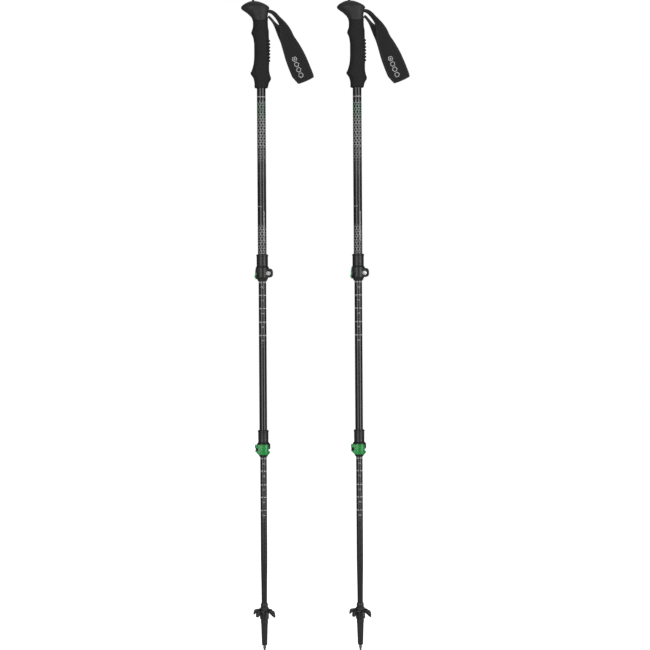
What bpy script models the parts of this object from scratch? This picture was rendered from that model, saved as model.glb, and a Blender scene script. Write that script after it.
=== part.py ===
"""A pair of three-section trekking poles with lever locks, for Blender 4.5.

Run it with: blender --background --python part.py

Everything is in metres with +Z up. The tip face of the left pole is the origin, the poles stand
along +Z, the noses of the grips point to -X and the wrist straps hang out to +X.
"""

import math
from dataclasses import dataclass

import bmesh
import bpy
from mathutils import Matrix, Vector

# Driving dimensions: the tubes
UPPER_TUBE_OD = 0.016
MIDDLE_TUBE_OD = 0.014
LOWER_TUBE_OD = 0.012
TUBE_WALL = 0.0006
UPPER_TUBE_LENGTH = 0.4517
MIDDLE_TUBE_LENGTH = 0.475
LOWER_TUBE_LENGTH = 0.491
LOWER_TUBE_FOOT_OD = 0.0102
LOWER_TUBE_TAPER = (0.055, 0.130)  # heights above the lower tube's foot where it tapers
BUSH_LENGTH = 0.012
BUSH_PLUG_LENGTH = 0.010
BUSH_WALL = 0.002

# Driving dimensions: how far the sections are drawn out, and where things stand
LOWER_LOCK_Z = 0.374  # tip face to the bolt of the lower lock
MIDDLE_EXPOSED = 0.3223  # bolt to bolt
POLE_SPACING = 0.1759
UPPER_LOCK_TURN = 8.0  # degrees about the pole
LOWER_LOCK_TURN = 165.0

# Driving dimensions: the locks, the same for both but for the tubes that they hold
SLEEVE_LENGTH = 0.0232
SEAT_HEIGHT = 0.0120  # bolt to the shoulder under the outer tube's end
SLEEVE_WALL = 0.0021
RIM_HEIGHT = 0.0030
RIM_STEP = 0.0006
CLAMP_WALL = 0.0033
CLAMP_DROP = 0.0080
CONE_DROP = 0.0148
CONE_RIM = 0.0009
HOOD_HEIGHT = 0.0095
HOOD_REACH = 0.0022
HOOD_LIP = 0.0006
HOOD_SLOPE = 0.0035
EAR_TOP = 0.0090
EAR_BOTTOM = -0.0075
EAR_CORNER = 0.0040
SLIT = 0.0020
LEVER_EAR = 0.0032
NUT_EAR = 0.0050
NUT_GUARD_REACH = 0.0088
NUT_GUARD_ROOT = 0.0055
LEVER_EAR_REACH = 0.0036
BOLT_R = 0.0016
BOLT_STANDOFF = 0.0030
NUT_R = 0.0039
NUT_LENGTH = 0.0046
NUT_CAP = 0.0013
NUT_SLOT = (0.0010, 0.0007, 0.0027)  # width, depth and half length
PLATE_THICK = 0.0008
PIN_R = 0.0012
EYE_R = 0.0029
EYE_HALF = 0.0022
KNUCKLE_R = 0.0040
KNUCKLE_BOTTOM = -0.0065
LEVER_GAP = 0.0009
LEVER_THICK = 0.0026
LEVER_TOP = 0.0088
LEVER_BOTTOM = -0.0100
LEVER_START = 48.0  # degrees about the pole
LEVER_SPLIT_END = 152.0
LEVER_TAB_END = 172.0
LEVER_TAB_TOP = -0.0036
GUARD_ARC = (202.0, 238.0)
GUARD_BOTTOM = -0.0010
GUARD_ROOT = 0.0006  # how far the guard is sunk in the clamp ring
NUT_PROUD = 0.0006  # how far the nut's face stands out of its well
PLATE_MARGIN = 0.0011
PLATE_INSET = 0.0010
EYE_ROOT = 0.0006  # how far the bolt's shaft is sunk in its eye

# Driving dimensions: the grip and the strap
FOAM_LENGTH = 0.1235
FOAM_HALF_WIDTH = 0.0140
NOSE_NARROWING = 0.12  # how much narrower the head's top is at the nose than at the rear
RIB_COUNT = 8
RIB_DEPTH = 0.0018
RIB_SPAN = (0.0485, 0.0885)  # above the foam's lower end
SPIGOT_LENGTH = 0.015
CHANNEL_FLOOR = 0.0120  # above the head's lower end
CHANNEL_TOP = 0.0223
CHANNEL_FRONT = -0.0170
MOUTH_FLOOR = 0.0055
MOUTH_FRONT = 0.0010
STRAP_THICK = 0.0016
WEBBING_WIDTH = 0.0125
WEBBING_ROOM = 0.00075
CHANNEL_HALF_WIDTH = WEBBING_WIDTH / 2 + WEBBING_ROOM
STRAP_PIN_R = 0.0018
STRAP_PIN_LENGTH = 0.022
STRAP_PIN_PLACE = (-0.0040, 0.0168)  # from the pole's axis, and above the head's lower end
LOCK_STEM_X = -0.0139
LOCK_STEM_R = 0.0022
LOCK_STEM_TOP = 0.0400
LOCK_FOOT_HEIGHT = 0.0055
HINGE_X = 0.0150
HINGE_HEIGHT = 0.0132
HINGE_ROOM = 0.0042  # from the hinge to the end of the webbing inside the head
ARCH_STEPS = 6  # stretches of webbing round the pin
FOLD_WAY = (0.40, 0.0, -0.92)  # which way the strap's foot faces

# Driving dimensions: the foot of the pole
CARBIDE_R = 0.0019
CARBIDE_STEP = 0.0004
CARBIDE_BEVEL = 0.0014
CARBIDE_SEAT = 0.0050  # how far the shank goes into the flex tip
FERRULE_R = 0.0027
FERRULE_LENGTH = 0.0060
FERRULE_SEAT = 0.0095
FERRULE_BEVEL = (0.0004, 0.0006)
FERRULE_SIDES = 16
TIP_CORE_R = 0.0012  # of the narrow hole between the ferrule's seat and the tube's
TIP_WALL = 0.0017
TIP_ROOM = 0.0100
SOCKET_RIM = (0.0006, 0.0009)
SOCKET_RIM_DROP = 0.0018
FLEX_TIP_BOTTOM = 0.0145
FLEX_TIP_TOP = 0.0918
TUBE_SEAT = 0.0450
THREAD_R = 0.0067
THREAD_SPAN = (0.0550, 0.0885)
SHOULDER_R = 0.0062
# The flex tip below its thread: how far in from the shoulder, and at what height
TIP_CONE = ((0.0, 0.0542), (0.0003, 0.0440), (0.0009, 0.0260), (0.0012, 0.0160))
BASKET_R = 0.0205
BASKET_Z = 0.0625
BASKET_HUB_HEIGHT = 0.0212
BASKET_HUB_WALL = 0.0014
BASKET_WEB = 0.0018
BASKET_RISE = 0.0075
BASKET_RIM_BEAD = 0.0026
BASKET_WEB_HEIGHT = 0.0160
BASKET_ARCH = (0.75, 0.0042)  # where the web bends, as a share of its reach, and how far above its rim
BASKET_HUB_BEVEL = (0.0006, 0.0012, 0.0030)
BASKET_LOBES = 6
BASKET_TURN = -12.0
BASKET_NOTCH = (0.92, 0.24)  # the notches' places and radii, as shares of the web's reach

# Fits
FIT = 0.0003  # between pieces that touch or turn on each other
FINE = 0.0001
PAST = 0.001  # how far a cutter goes past the wall that it cuts
FAR = 0.03  # past the outside of any lock or head

TUBE_SIDES = 24
COLLAR_SIDES = 20
FOOT_SIDES = 18
PIN_SIDES = 12
WELL_SIDES = 16
LEVER_SIDES = 32
NUT_SIDES = 20
FOAM_SIDES = 14
HEAD_SIDES = 20

MATERIALS = {
    "foam": ((0.022, 0.022, 0.023), 0.85, 0.0),
    "rubber": ((0.045, 0.045, 0.046), 0.55, 0.0),
    "webbing": ((0.018, 0.018, 0.020), 0.90, 0.0),
    "tube": ((0.012, 0.012, 0.013), 0.20, 0.3),
    "collar": ((0.020, 0.021, 0.021), 0.45, 0.0),
    "lever": ((0.010, 0.300, 0.060), 0.30, 0.0),
    "steel": ((0.600, 0.600, 0.600), 0.25, 1.0),
    "nylon": ((0.020, 0.020, 0.020), 0.50, 0.0),
    "acetal": ((0.045, 0.045, 0.048), 0.45, 0.0),
    "carbide": ((0.230, 0.225, 0.215), 0.35, 1.0),
}


@dataclass(frozen=True)
class Lock:
    """The sizes of one lever lock, which follow from the two tubes that it joins."""

    outer_r: float
    inner_r: float

    @property
    def bore_r(self):
        """Radius of the hole that the inner tube slides in."""
        return self.inner_r + FIT

    @property
    def sleeve_r(self):
        """Radius of the sleeve on the outer tube."""
        return self.outer_r + FIT + SLEEVE_WALL

    @property
    def clamp_r(self):
        """Radius of the ring round the inner tube."""
        return self.bore_r + CLAMP_WALL

    @property
    def bolt_x(self):
        """Where the bolt crosses, from the axis."""
        return self.inner_r + BOLT_STANDOFF

    @property
    def plate_y(self):
        """The near face of the wear plate."""
        return SLIT / 2 + LEVER_EAR + FIT

    @property
    def pin_y(self):
        """Where the lever turns."""
        return self.plate_y + PLATE_THICK + FIT + KNUCKLE_R

    @property
    def nut_y(self):
        """The bottom of the nut's well."""
        return -(SLIT / 2 + NUT_EAR)

    @property
    def lever_inner_r(self):
        """Inner radius of the lever's shell."""
        return self.clamp_r + LEVER_GAP

    @property
    def lever_outer_r(self):
        """Outer radius of the lever's shell."""
        return self.lever_inner_r + LEVER_THICK

    @property
    def top(self):
        """Height of the sleeve's upper end."""
        return SEAT_HEIGHT + SLEEVE_LENGTH


UPPER_LOCK = Lock(UPPER_TUBE_OD / 2, MIDDLE_TUBE_OD / 2)
LOWER_LOCK = Lock(MIDDLE_TUBE_OD / 2, LOWER_TUBE_OD / 2)
UPPER_LOCK_Z = LOWER_LOCK_Z + MIDDLE_EXPOSED
HEAD_Z = UPPER_LOCK_Z + SEAT_HEIGHT + UPPER_TUBE_LENGTH

# The grip's outline: height above its lower end, front and rear edge from the pole's axis
FOAM_OUTLINE = (
    (0.0000, -0.0118, 0.0120),
    (0.0025, -0.0123, 0.0125),
    (0.0095, -0.0123, 0.0142),
    (0.0132, -0.0130, 0.0162),
    (0.0168, -0.0138, 0.0182),
    (0.0205, -0.0154, 0.0178),
    (0.0241, -0.0180, 0.0164),
    (0.0278, -0.0196, 0.0157),
    (0.0315, -0.0176, 0.0149),
    (0.0388, -0.0152, 0.0148),
    (0.0470, -0.0134, 0.0151),
    (0.0600, -0.0125, 0.0153),
    (0.0790, -0.0125, 0.0153),
    (0.0865, -0.0131, 0.0150),
    (0.0938, -0.0146, 0.0148),
    (0.0975, -0.0161, 0.0147),
    (0.1012, -0.0177, 0.0147),
    (0.1049, -0.0168, 0.0146),
    (0.1122, -0.0146, 0.0134),
    (0.1195, -0.0144, 0.0130),
    (0.1235, -0.0150, 0.0130),
)

# The head's outline: the same above its own lower end, with its half width as well
HEAD_OUTLINE = (
    (0.0000, -0.0150, 0.0130, 0.0140),
    (0.0065, -0.0176, 0.0134, 0.0148),
    (0.0106, -0.0214, 0.0139, 0.0157),
    (0.0144, -0.0256, 0.0146, 0.0165),
    (0.0181, -0.0309, 0.0152, 0.0171),
    (0.0215, -0.0352, 0.0156, 0.0173),
    (0.0240, -0.0362, 0.0156, 0.0172),
    (0.0268, -0.0350, 0.0136, 0.0163),
    (0.0300, -0.0315, 0.0088, 0.0140),
    (0.0332, -0.0260, 0.0020, 0.0104),
    (0.0353, -0.0205, -0.0045, 0.0065),
    (0.0362, -0.0165, -0.0090, 0.0032),
)

# The strap loop: how far out and how far above the head's lower end, how far to the front,
# the band's width, and its twist in degrees from across the pole to facing the front
STRAP_ROUTE = (
    (0.0139, 0.0180, 0.0000, 1.00, 18),
    (0.0205, 0.0157, 0.0003, 1.00, 30),
    (0.0264, 0.0108, 0.0012, 1.00, 38),
    (0.0325, 0.0034, 0.0024, 1.00, 42),
    (0.0378, -0.0040, 0.0036, 1.05, 56),
    (0.0418, -0.0112, 0.0045, 1.30, 74),
    (0.0455, -0.0215, 0.0050, 1.75, 90),
    (0.0494, -0.0360, 0.0052, 2.20, 90),
    (0.0556, -0.0500, 0.0052, 2.60, 90),
    (0.0615, -0.0640, 0.0052, 2.90, 90),
    (0.0672, -0.0780, 0.0050, 3.02, 90),
    (0.0728, -0.0920, 0.0046, 3.04, 90),
    (0.0776, -0.1035, 0.0036, 3.00, 90),
    (0.0800, -0.1093, 0.0021, 2.94, 90),
    (0.0806, -0.1108, 0.0000, 2.92, 90),
    (0.0800, -0.1093, -0.0021, 2.94, 90),
    (0.0776, -0.1035, -0.0036, 3.00, 90),
    (0.0728, -0.0920, -0.0046, 3.04, 90),
    (0.0672, -0.0780, -0.0050, 3.02, 90),
    (0.0615, -0.0640, -0.0052, 2.90, 90),
    (0.0556, -0.0500, -0.0052, 2.60, 90),
    (0.0488, -0.0360, -0.0052, 2.20, 90),
    (0.0405, -0.0235, -0.0050, 1.70, 88),
    (0.0320, -0.0135, -0.0044, 1.20, 62),
    (0.0264, -0.0062, -0.0032, 1.00, 36),
    (0.0222, -0.0006, -0.0018, 1.00, 26),
    (0.0182, 0.0040, -0.0006, 1.00, 22),
    (0.0139, 0.0084, 0.0000, 1.00, 18),
)
ROUTE_STEPS = 2  # stations worked out between two points of the route

# The collections of the finished pieces and of the shapes they are made with, set by build
PARTS = None
CUTTERS = None


def clear_scene():
    """Removes every object."""
    for obj in list(bpy.data.objects):
        bpy.data.objects.remove(obj, do_unlink=True)


def new_collection(name):
    """A collection in the scene."""
    collection = bpy.data.collections.new(name)
    bpy.context.scene.collection.children.link(collection)
    return collection


def new_material(name, colour, roughness, metallic):
    """A plain material."""
    material = bpy.data.materials.new(name)
    material.use_nodes = True
    shader = material.node_tree.nodes["Principled BSDF"]
    shader.inputs["Base Color"].default_value = (*colour, 1.0)
    shader.inputs["Roughness"].default_value = roughness
    shader.inputs["Metallic"].default_value = metallic
    return material


def object_from(mesh_or_bmesh, name="shape"):
    """An object for a mesh or a bmesh, kept among the cutters until its shape is done."""
    mesh = mesh_or_bmesh
    if isinstance(mesh, bmesh.types.BMesh):
        mesh = bpy.data.meshes.new(name)
        mesh_or_bmesh.to_mesh(mesh)
        mesh_or_bmesh.free()
    obj = bpy.data.objects.new(name, mesh)
    obj.hide_render = True
    obj.display_type = "WIRE"
    CUTTERS.objects.link(obj)
    return obj


def box(low, high, rounded=None, radius=0.0):
    """A box between two corners. rounded picks the edges to round, by a test on their middle."""
    low, high = Vector(low), Vector(high)
    shape = bmesh.new()
    bmesh.ops.create_cube(shape, size=1.0)
    bmesh.ops.scale(shape, vec=high - low, verts=shape.verts)
    bmesh.ops.translate(shape, vec=(low + high) / 2, verts=shape.verts)
    if rounded:
        edges = [edge for edge in shape.edges if rounded((edge.verts[0].co + edge.verts[1].co) / 2)]
        bmesh.ops.bevel(shape, geom=edges, offset=radius, segments=2, profile=0.5, affect="EDGES")
    return object_from(shape)


def rod(start, end, radius, sides=PIN_SIDES, end_radius=None):
    """A cylinder or cone between two points, a flat of which faces along X or Z."""
    start, end = Vector(start), Vector(end)
    along = end - start
    shape = bmesh.new()
    bmesh.ops.create_cone(
        shape,
        cap_ends=True,
        segments=sides,
        radius1=radius,
        radius2=radius if end_radius is None else end_radius,
        depth=along.length,
    )
    turn = along.to_track_quat("Z", "Y").to_matrix().to_4x4()
    bmesh.ops.transform(shape, matrix=Matrix.Translation((start + end) / 2) @ turn, verts=shape.verts)
    return object_from(shape)


def turned(profile, sides=TUBE_SIDES):
    """A turned shape. The profile runs down its outer side; it closes on itself or ends on the axis."""
    mesh = bpy.data.meshes.new("profile")
    points = [(r, 0.0, z) for r, z in profile]
    closed = min(r for r, z in profile) > 0
    edges = [(i, i + 1) for i in range(len(points) - 1)]
    if closed:
        edges.append((len(points) - 1, 0))
    mesh.from_pydata(points, edges, [])
    obj = object_from(mesh)
    screw = obj.modifiers.new("turn", "SCREW")
    screw.steps = sides
    screw.render_steps = sides
    screw.use_merge_vertices = True
    screw.merge_threshold = 0.00001
    return obj


def tube(outer_r, inner_r, bottom, top, sides=TUBE_SIDES):
    """A straight tube round the pole."""
    return turned(((outer_r, top), (outer_r, bottom), (inner_r, bottom), (inner_r, top)), sides)


def sector(start, end, radius, bottom, top):
    """A prism over the part of a disc between two angles about the pole."""
    steps = max(2, math.ceil((end - start) / 30))
    angles = [math.radians(start + (end - start) * i / steps) for i in range(steps + 1)]
    shape = bmesh.new()
    corners = [shape.verts.new((0.0, 0.0, bottom))]
    corners += [shape.verts.new((radius * math.cos(a), radius * math.sin(a), bottom)) for a in angles]
    base = shape.faces.new(corners)
    grown = bmesh.ops.extrude_face_region(shape, geom=[base])["geom"]
    raised = [item for item in grown if isinstance(item, bmesh.types.BMVert)]
    bmesh.ops.translate(shape, vec=(0.0, 0.0, top - bottom), verts=raised)
    bmesh.ops.recalc_face_normals(shape, faces=shape.faces)
    return object_from(shape)


def baked(obj):
    """The object with its modifiers made real, and the shapes that they used removed."""
    graph = bpy.context.evaluated_depsgraph_get()
    mesh = bpy.data.meshes.new_from_object(obj.evaluated_get(graph))
    used = [modifier.object for modifier in obj.modifiers if modifier.type == "BOOLEAN"]
    obj.modifiers.clear()
    obj.data = mesh
    for other in used:
        bpy.data.objects.remove(other, do_unlink=True)
    return obj


def combined(obj, others, operation):
    """The object after a Boolean with each of the others."""
    for other in others:
        modifier = obj.modifiers.new(operation.lower(), "BOOLEAN")
        modifier.operation = operation
        modifier.solver = "EXACT"
        modifier.object = other
    return baked(obj)


def cut(obj, *others):
    """The object less the others."""
    return combined(obj, others, "DIFFERENCE")


def joined(obj, *others):
    """The object and the others as one body."""
    return combined(obj, others, "UNION")


def kept_inside(obj, other):
    """The part of the object inside the other."""
    return combined(obj, [other], "INTERSECT")


def lofted(rings):
    """A closed solid through rings of as many points each, which run anticlockwise seen from above."""
    shape = bmesh.new()
    rows = [[shape.verts.new(point) for point in ring] for ring in rings]
    count = len(rows[0])
    for low, high in zip(rows, rows[1:]):
        for i in range(count):
            j = (i + 1) % count
            shape.faces.new((low[i], low[j], high[j], high[i]))
    shape.faces.new(list(reversed(rows[0])))
    shape.faces.new(rows[-1])
    bmesh.ops.recalc_face_normals(shape, faces=shape.faces)
    return object_from(shape)


def oval_ring(height, front, rear, half_width, sides, narrow=0.0, bumps=0.0):
    """One section of the grip: an oval, narrower towards the nose, with ribs on its rear quarter."""
    middle, half_length = (front + rear) / 2, (rear - front) / 2
    ring = []
    for i in range(sides):
        angle = 2 * math.pi * (i + 0.5) / sides
        along, across = math.cos(angle), math.sin(angle)
        x = middle + half_length * math.copysign(abs(along) ** 0.9, along)
        y = half_width * math.copysign(abs(across) ** 0.9, across) * (1 + narrow * along)
        x += bumps * max(0.0, along) ** 2
        ring.append((x, y, height))
    return ring


def between(table, height):
    """The row of an outline table at a height, straight between its neighbours."""
    for low, high in zip(table, table[1:]):
        if height <= high[0]:
            share = (height - low[0]) / (high[0] - low[0])
            return [a + (b - a) * share for a, b in zip(low, high)]
    return list(table[-1])


def foam_grip():
    """The foam sleeve: its outline, with ribs across the rear, bored for the tube."""
    low, high = RIB_SPAN
    pitch = (high - low) / RIB_COUNT
    rib_rows = [(low + pitch * i / 2, RIB_DEPTH * (i % 2)) for i in range(2 * RIB_COUNT + 1)]
    rows = [(row[0], 0.0) for row in FOAM_OUTLINE if not low < row[0] < high]
    stretch = FOAM_LENGTH / FOAM_OUTLINE[-1][0]
    rings = []
    for height, bump in sorted(rows + rib_rows):
        row = between(FOAM_OUTLINE, height)
        z = HEAD_Z - FIT - FOAM_LENGTH + height * stretch
        rings.append(oval_ring(z, row[1], row[2], FOAM_HALF_WIDTH, FOAM_SIDES, bumps=bump))
    bore = rod((0, 0, HEAD_Z - 2 * FOAM_LENGTH), (0, 0, HEAD_Z + PAST), UPPER_TUBE_OD / 2 + FIT, TUBE_SIDES)
    return cut(lofted(rings), bore)


def grip_head():
    """The head with its spigot, the strap's channel and mouth, the pin's hole and the stem's hole."""
    top = HEAD_OUTLINE[-1][0]
    rings = [
        oval_ring(HEAD_Z + row[0], *row[1:], HEAD_SIDES, narrow=NOSE_NARROWING * row[0] / top)
        for row in HEAD_OUTLINE
    ]
    spigot_r = UPPER_TUBE_OD / 2 - TUBE_WALL - FIT
    spigot = rod((0, 0, HEAD_Z - SPIGOT_LENGTH), (0, 0, HEAD_Z + 2 * PAST), spigot_r, TUBE_SIDES)
    channel = box(
        (CHANNEL_FRONT, -CHANNEL_HALF_WIDTH, HEAD_Z + CHANNEL_FLOOR),
        (MOUTH_FRONT + PAST, CHANNEL_HALF_WIDTH, HEAD_Z + CHANNEL_TOP),
    )
    mouth = box(
        (MOUTH_FRONT, -CHANNEL_HALF_WIDTH - FINE, HEAD_Z + MOUTH_FLOOR),
        (FAR, CHANNEL_HALF_WIDTH + FINE, HEAD_Z + CHANNEL_TOP + FINE),
    )
    pin_x, pin_height = STRAP_PIN_PLACE
    half = STRAP_PIN_LENGTH / 2 + FIT
    pin_hole = rod(
        (pin_x, -half, HEAD_Z + pin_height), (pin_x, half, HEAD_Z + pin_height), STRAP_PIN_R + FIT
    )
    stem_hole = rod(
        (LOCK_STEM_X, 0, HEAD_Z + CHANNEL_TOP - 2 * PAST),
        (LOCK_STEM_X, 0, HEAD_Z + LOCK_STEM_TOP + PAST),
        LOCK_STEM_R + FIT,
    )
    return cut(joined(lofted(rings), spigot), channel, mouth, pin_hole, stem_hole)


def strap_pin():
    """The pin across the head that the webbing goes round."""
    x, height = STRAP_PIN_PLACE
    half = STRAP_PIN_LENGTH / 2
    return rod((x, -half, HEAD_Z + height), (x, half, HEAD_Z + height), STRAP_PIN_R)


def strap_lock():
    """The wedge plug: a foot in front of the webbing's bend, and a stem up through the head."""
    rear = STRAP_PIN_PLACE[0] - STRAP_PIN_R - 2 * FIT - STRAP_THICK
    floor = HEAD_Z + CHANNEL_FLOOR + FIT
    foot = box(
        (CHANNEL_FRONT + FIT, -CHANNEL_HALF_WIDTH + FIT, floor),
        (rear, CHANNEL_HALF_WIDTH - FIT, floor + LOCK_FOOT_HEIGHT),
    )
    stem = rod(
        (LOCK_STEM_X, 0, floor + LOCK_FOOT_HEIGHT / 2),
        (LOCK_STEM_X, 0, HEAD_Z + LOCK_STEM_TOP),
        LOCK_STEM_R,
    )
    return joined(foot, stem)


def ribbon(stations):
    """A strap of rectangular section. A station is its middle, its width vector and its face's normal."""
    rings = []
    for middle, across, normal in stations:
        half = normal * (STRAP_THICK / 2)
        corners = (-across - half, across - half, across + half, -across + half)
        rings.append([middle + corner for corner in corners])
    return lofted(rings)


def strap_anchor():
    """The webbing inside the head: in over the pin, round it and out below it."""
    x, height = STRAP_PIN_PLACE
    radius = STRAP_PIN_R + FIT + STRAP_THICK / 2
    end_x = HINGE_X - HINGE_ROOM
    across = Vector((0.0, WEBBING_WIDTH / 2, 0.0))
    route = [(end_x, STRAP_ROUTE[0][1])]
    for i in range(ARCH_STEPS + 1):
        angle = math.radians(90 + 180 * i / ARCH_STEPS)
        route.append((x + radius * math.cos(angle), height + radius * math.sin(angle)))
    route.append((MOUTH_FRONT + STRAP_THICK, height - radius))
    route.append((end_x, STRAP_ROUTE[-1][1]))
    points = [Vector((px, 0.0, HEAD_Z + pz)) for px, pz in route]
    stations = []
    for i, point in enumerate(points):
        before, after = points[max(0, i - 1)], points[min(len(points) - 1, i + 1)]
        along = (after - before).normalized()
        stations.append((point, across, along.cross(Vector((0.0, 1.0, 0.0)))))
    return ribbon(stations)


def smooth_route(rows, steps):
    """Points along a Catmull-Rom curve through the rows, steps of them for each stretch."""
    padded = [rows[0], *rows, rows[-1]]
    found = []
    for a, b, c, d in zip(padded, padded[1:], padded[2:], padded[3:]):
        for i in range(steps):
            t = i / steps
            row = []
            for p, q, r, s in zip(a, b, c, d):
                bend, twist = 2 * p - 5 * q + 4 * r - s, 3 * q - p - 3 * r + s
                row.append(0.5 * (2 * q + (r - p) * t + bend * t**2 + twist * t**3))
            found.append(row)
    found.append(list(rows[-1]))
    return found


def strap_loop():
    """The strap outside the head: one band that twists, widens, folds at its foot and comes back."""
    rows = smooth_route(STRAP_ROUTE, ROUTE_STEPS)
    points = [Vector((row[0], -row[2], HEAD_Z + row[1])) for row in rows]
    stations = []
    facing = Vector((0.0, 1.0, 0.0))
    for i, (point, row) in enumerate(zip(points, rows)):
        before, after = points[max(0, i - 1)], points[min(len(points) - 1, i + 1)]
        along = (after - before).normalized()
        level = Vector((along.x, 0.0, along.z))
        if level.length < 0.5:
            level = Vector(FOLD_WAY)
        if level.z > 0:
            level = -level
        in_plane = facing.cross(level.normalized())
        twist = math.radians(row[4])
        across = facing * math.cos(twist) + in_plane * math.sin(twist)
        across = (across - along * across.dot(along)).normalized()
        normal = along.cross(across).normalized()
        stations.append((point, across * (WEBBING_WIDTH * row[3] / 2), normal))
    return ribbon(stations)


def collar(lock):
    """The lock's moulded body: a sleeve on the outer tube, a split clamp ring with two ears, a hood."""
    seat_r = lock.outer_r + FIT
    hood_r = max(lock.sleeve_r, lock.clamp_r) + HOOD_REACH
    body = turned((
        (lock.sleeve_r + RIM_STEP, lock.top),
        (lock.sleeve_r + RIM_STEP, lock.top - RIM_HEIGHT),
        (lock.sleeve_r, lock.top - RIM_HEIGHT - RIM_STEP),
        (lock.sleeve_r, HOOD_HEIGHT + HOOD_SLOPE),
        (hood_r, HOOD_HEIGHT + HOOD_LIP),
        (hood_r, HOOD_HEIGHT),
        (lock.clamp_r, HOOD_HEIGHT - FINE),
        (lock.clamp_r, -CLAMP_DROP),
        (lock.bore_r + CONE_RIM, -CONE_DROP),
        (lock.bore_r, -CONE_DROP),
        (lock.bore_r, SEAT_HEIGHT - FIT),
        (seat_r, SEAT_HEIGHT - FIT),
        (seat_r, lock.top),
    ), COLLAR_SIDES)
    ear_start = lock.bore_r - FIT
    lever_reach = lock.bolt_x + LEVER_EAR_REACH
    guard_reach = lock.bolt_x + NUT_GUARD_REACH
    guard_y = lock.nut_y - FIT - NUT_LENGTH + NUT_PROUD
    lever_ear = box(
        (ear_start, 0.0, EAR_BOTTOM), (lever_reach, SLIT / 2 + LEVER_EAR, EAR_TOP),
        lambda middle: middle.x > lever_reach - FINE and abs(middle.y - SLIT / 4 - LEVER_EAR / 2) < FIT,
        EAR_CORNER,
    )
    nut_ear = box(
        (ear_start, guard_y, EAR_BOTTOM), (guard_reach, 0.0, EAR_TOP),
        lambda middle: middle.x > guard_reach - FINE and abs(middle.y - guard_y / 2) < FIT,
        EAR_CORNER,
    )
    root_reach = lock.bolt_x + NUT_GUARD_ROOT
    for vertex in nut_ear.data.vertices:
        if vertex.co.y > -FINE:
            share = (root_reach - ear_start) / (guard_reach - ear_start)
            vertex.co.x = ear_start + (vertex.co.x - ear_start) * share
    guard = tube(lock.lever_outer_r, lock.clamp_r - GUARD_ROOT, GUARD_BOTTOM, HOOD_HEIGHT + HOOD_LIP)
    guard = kept_inside(guard, sector(*GUARD_ARC, FAR, GUARD_BOTTOM - PAST, HOOD_HEIGHT + PAST))
    inner_tube_room = rod((0, 0, -CONE_DROP - PAST), (0, 0, SEAT_HEIGHT - FIT), lock.bore_r, COLLAR_SIDES)
    slit = box((0.0, -SLIT / 2, -CONE_DROP - PAST), (FAR, SLIT / 2, HOOD_HEIGHT - FINE))
    bolt_hole = rod((lock.bolt_x, -FAR, 0), (lock.bolt_x, FAR, 0), BOLT_R + FIT)
    nut_well = rod((lock.bolt_x, -FAR, 0), (lock.bolt_x, lock.nut_y, 0), NUT_R + 2 * FIT, WELL_SIDES)
    knuckle_room = rod(
        (lock.bolt_x, lock.pin_y, EAR_BOTTOM - FAR),
        (lock.bolt_x, lock.pin_y, HOOD_HEIGHT - FINE),
        KNUCKLE_R + 2 * FIT,
        WELL_SIDES,
    )
    plate_room = box(
        (lock.bolt_x - BOLT_R - 3 * FIT - PLATE_MARGIN, lock.plate_y - FIT, EAR_BOTTOM - FIT),
        (FAR, lock.pin_y, HOOD_HEIGHT - FINE),
    )
    body = joined(body, lever_ear, nut_ear, guard)
    return cut(body, inner_tube_room, slit, bolt_hole, nut_well, knuckle_room, plate_room)


def eye_bolt(lock):
    """The bolt through both ears: an eye round the lever's pin, and a shaft into the nut."""
    eye = rod((lock.bolt_x, lock.pin_y, -EYE_HALF), (lock.bolt_x, lock.pin_y, EYE_HALF), EYE_R)
    end_y = lock.nut_y - FIT - NUT_LENGTH + NUT_CAP + FIT
    shaft = rod((lock.bolt_x, lock.pin_y - EYE_R + EYE_ROOT, 0), (lock.bolt_x, end_y, 0), BOLT_R)
    hole = rod((lock.bolt_x, lock.pin_y, -FAR), (lock.bolt_x, lock.pin_y, FAR), PIN_R + FIT)
    return cut(joined(eye, shaft), hole)


def tension_nut(lock):
    """The round nut on the bolt's end, blind, with a coin slot across its face."""
    inner_y = lock.nut_y - FIT
    outer_y = inner_y - NUT_LENGTH
    nut = rod((lock.bolt_x, outer_y, 0), (lock.bolt_x, inner_y, 0), NUT_R, NUT_SIDES)
    bore = rod((lock.bolt_x, outer_y + NUT_CAP, 0), (lock.bolt_x, inner_y + PAST, 0), BOLT_R + FIT)
    width, depth, reach = NUT_SLOT
    slot = box(
        (lock.bolt_x - width / 2, outer_y - PAST, -reach),
        (lock.bolt_x + width / 2, outer_y + depth, reach),
    )
    return cut(nut, bore, slot)


def cam_plate(lock):
    """The wear plate between the ear and the lever's cam."""
    low_x = lock.bolt_x - BOLT_R - 2 * FIT - PLATE_MARGIN
    plate = box(
        (low_x, lock.plate_y, EAR_BOTTOM + PLATE_INSET),
        (lock.bolt_x + LEVER_EAR_REACH - FIT, lock.plate_y + PLATE_THICK, EAR_TOP - PLATE_INSET),
    )
    hole = rod((lock.bolt_x, lock.plate_y - PAST, 0), (lock.bolt_x, lock.pin_y, 0), BOLT_R + FIT)
    return cut(plate, hole)


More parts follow.
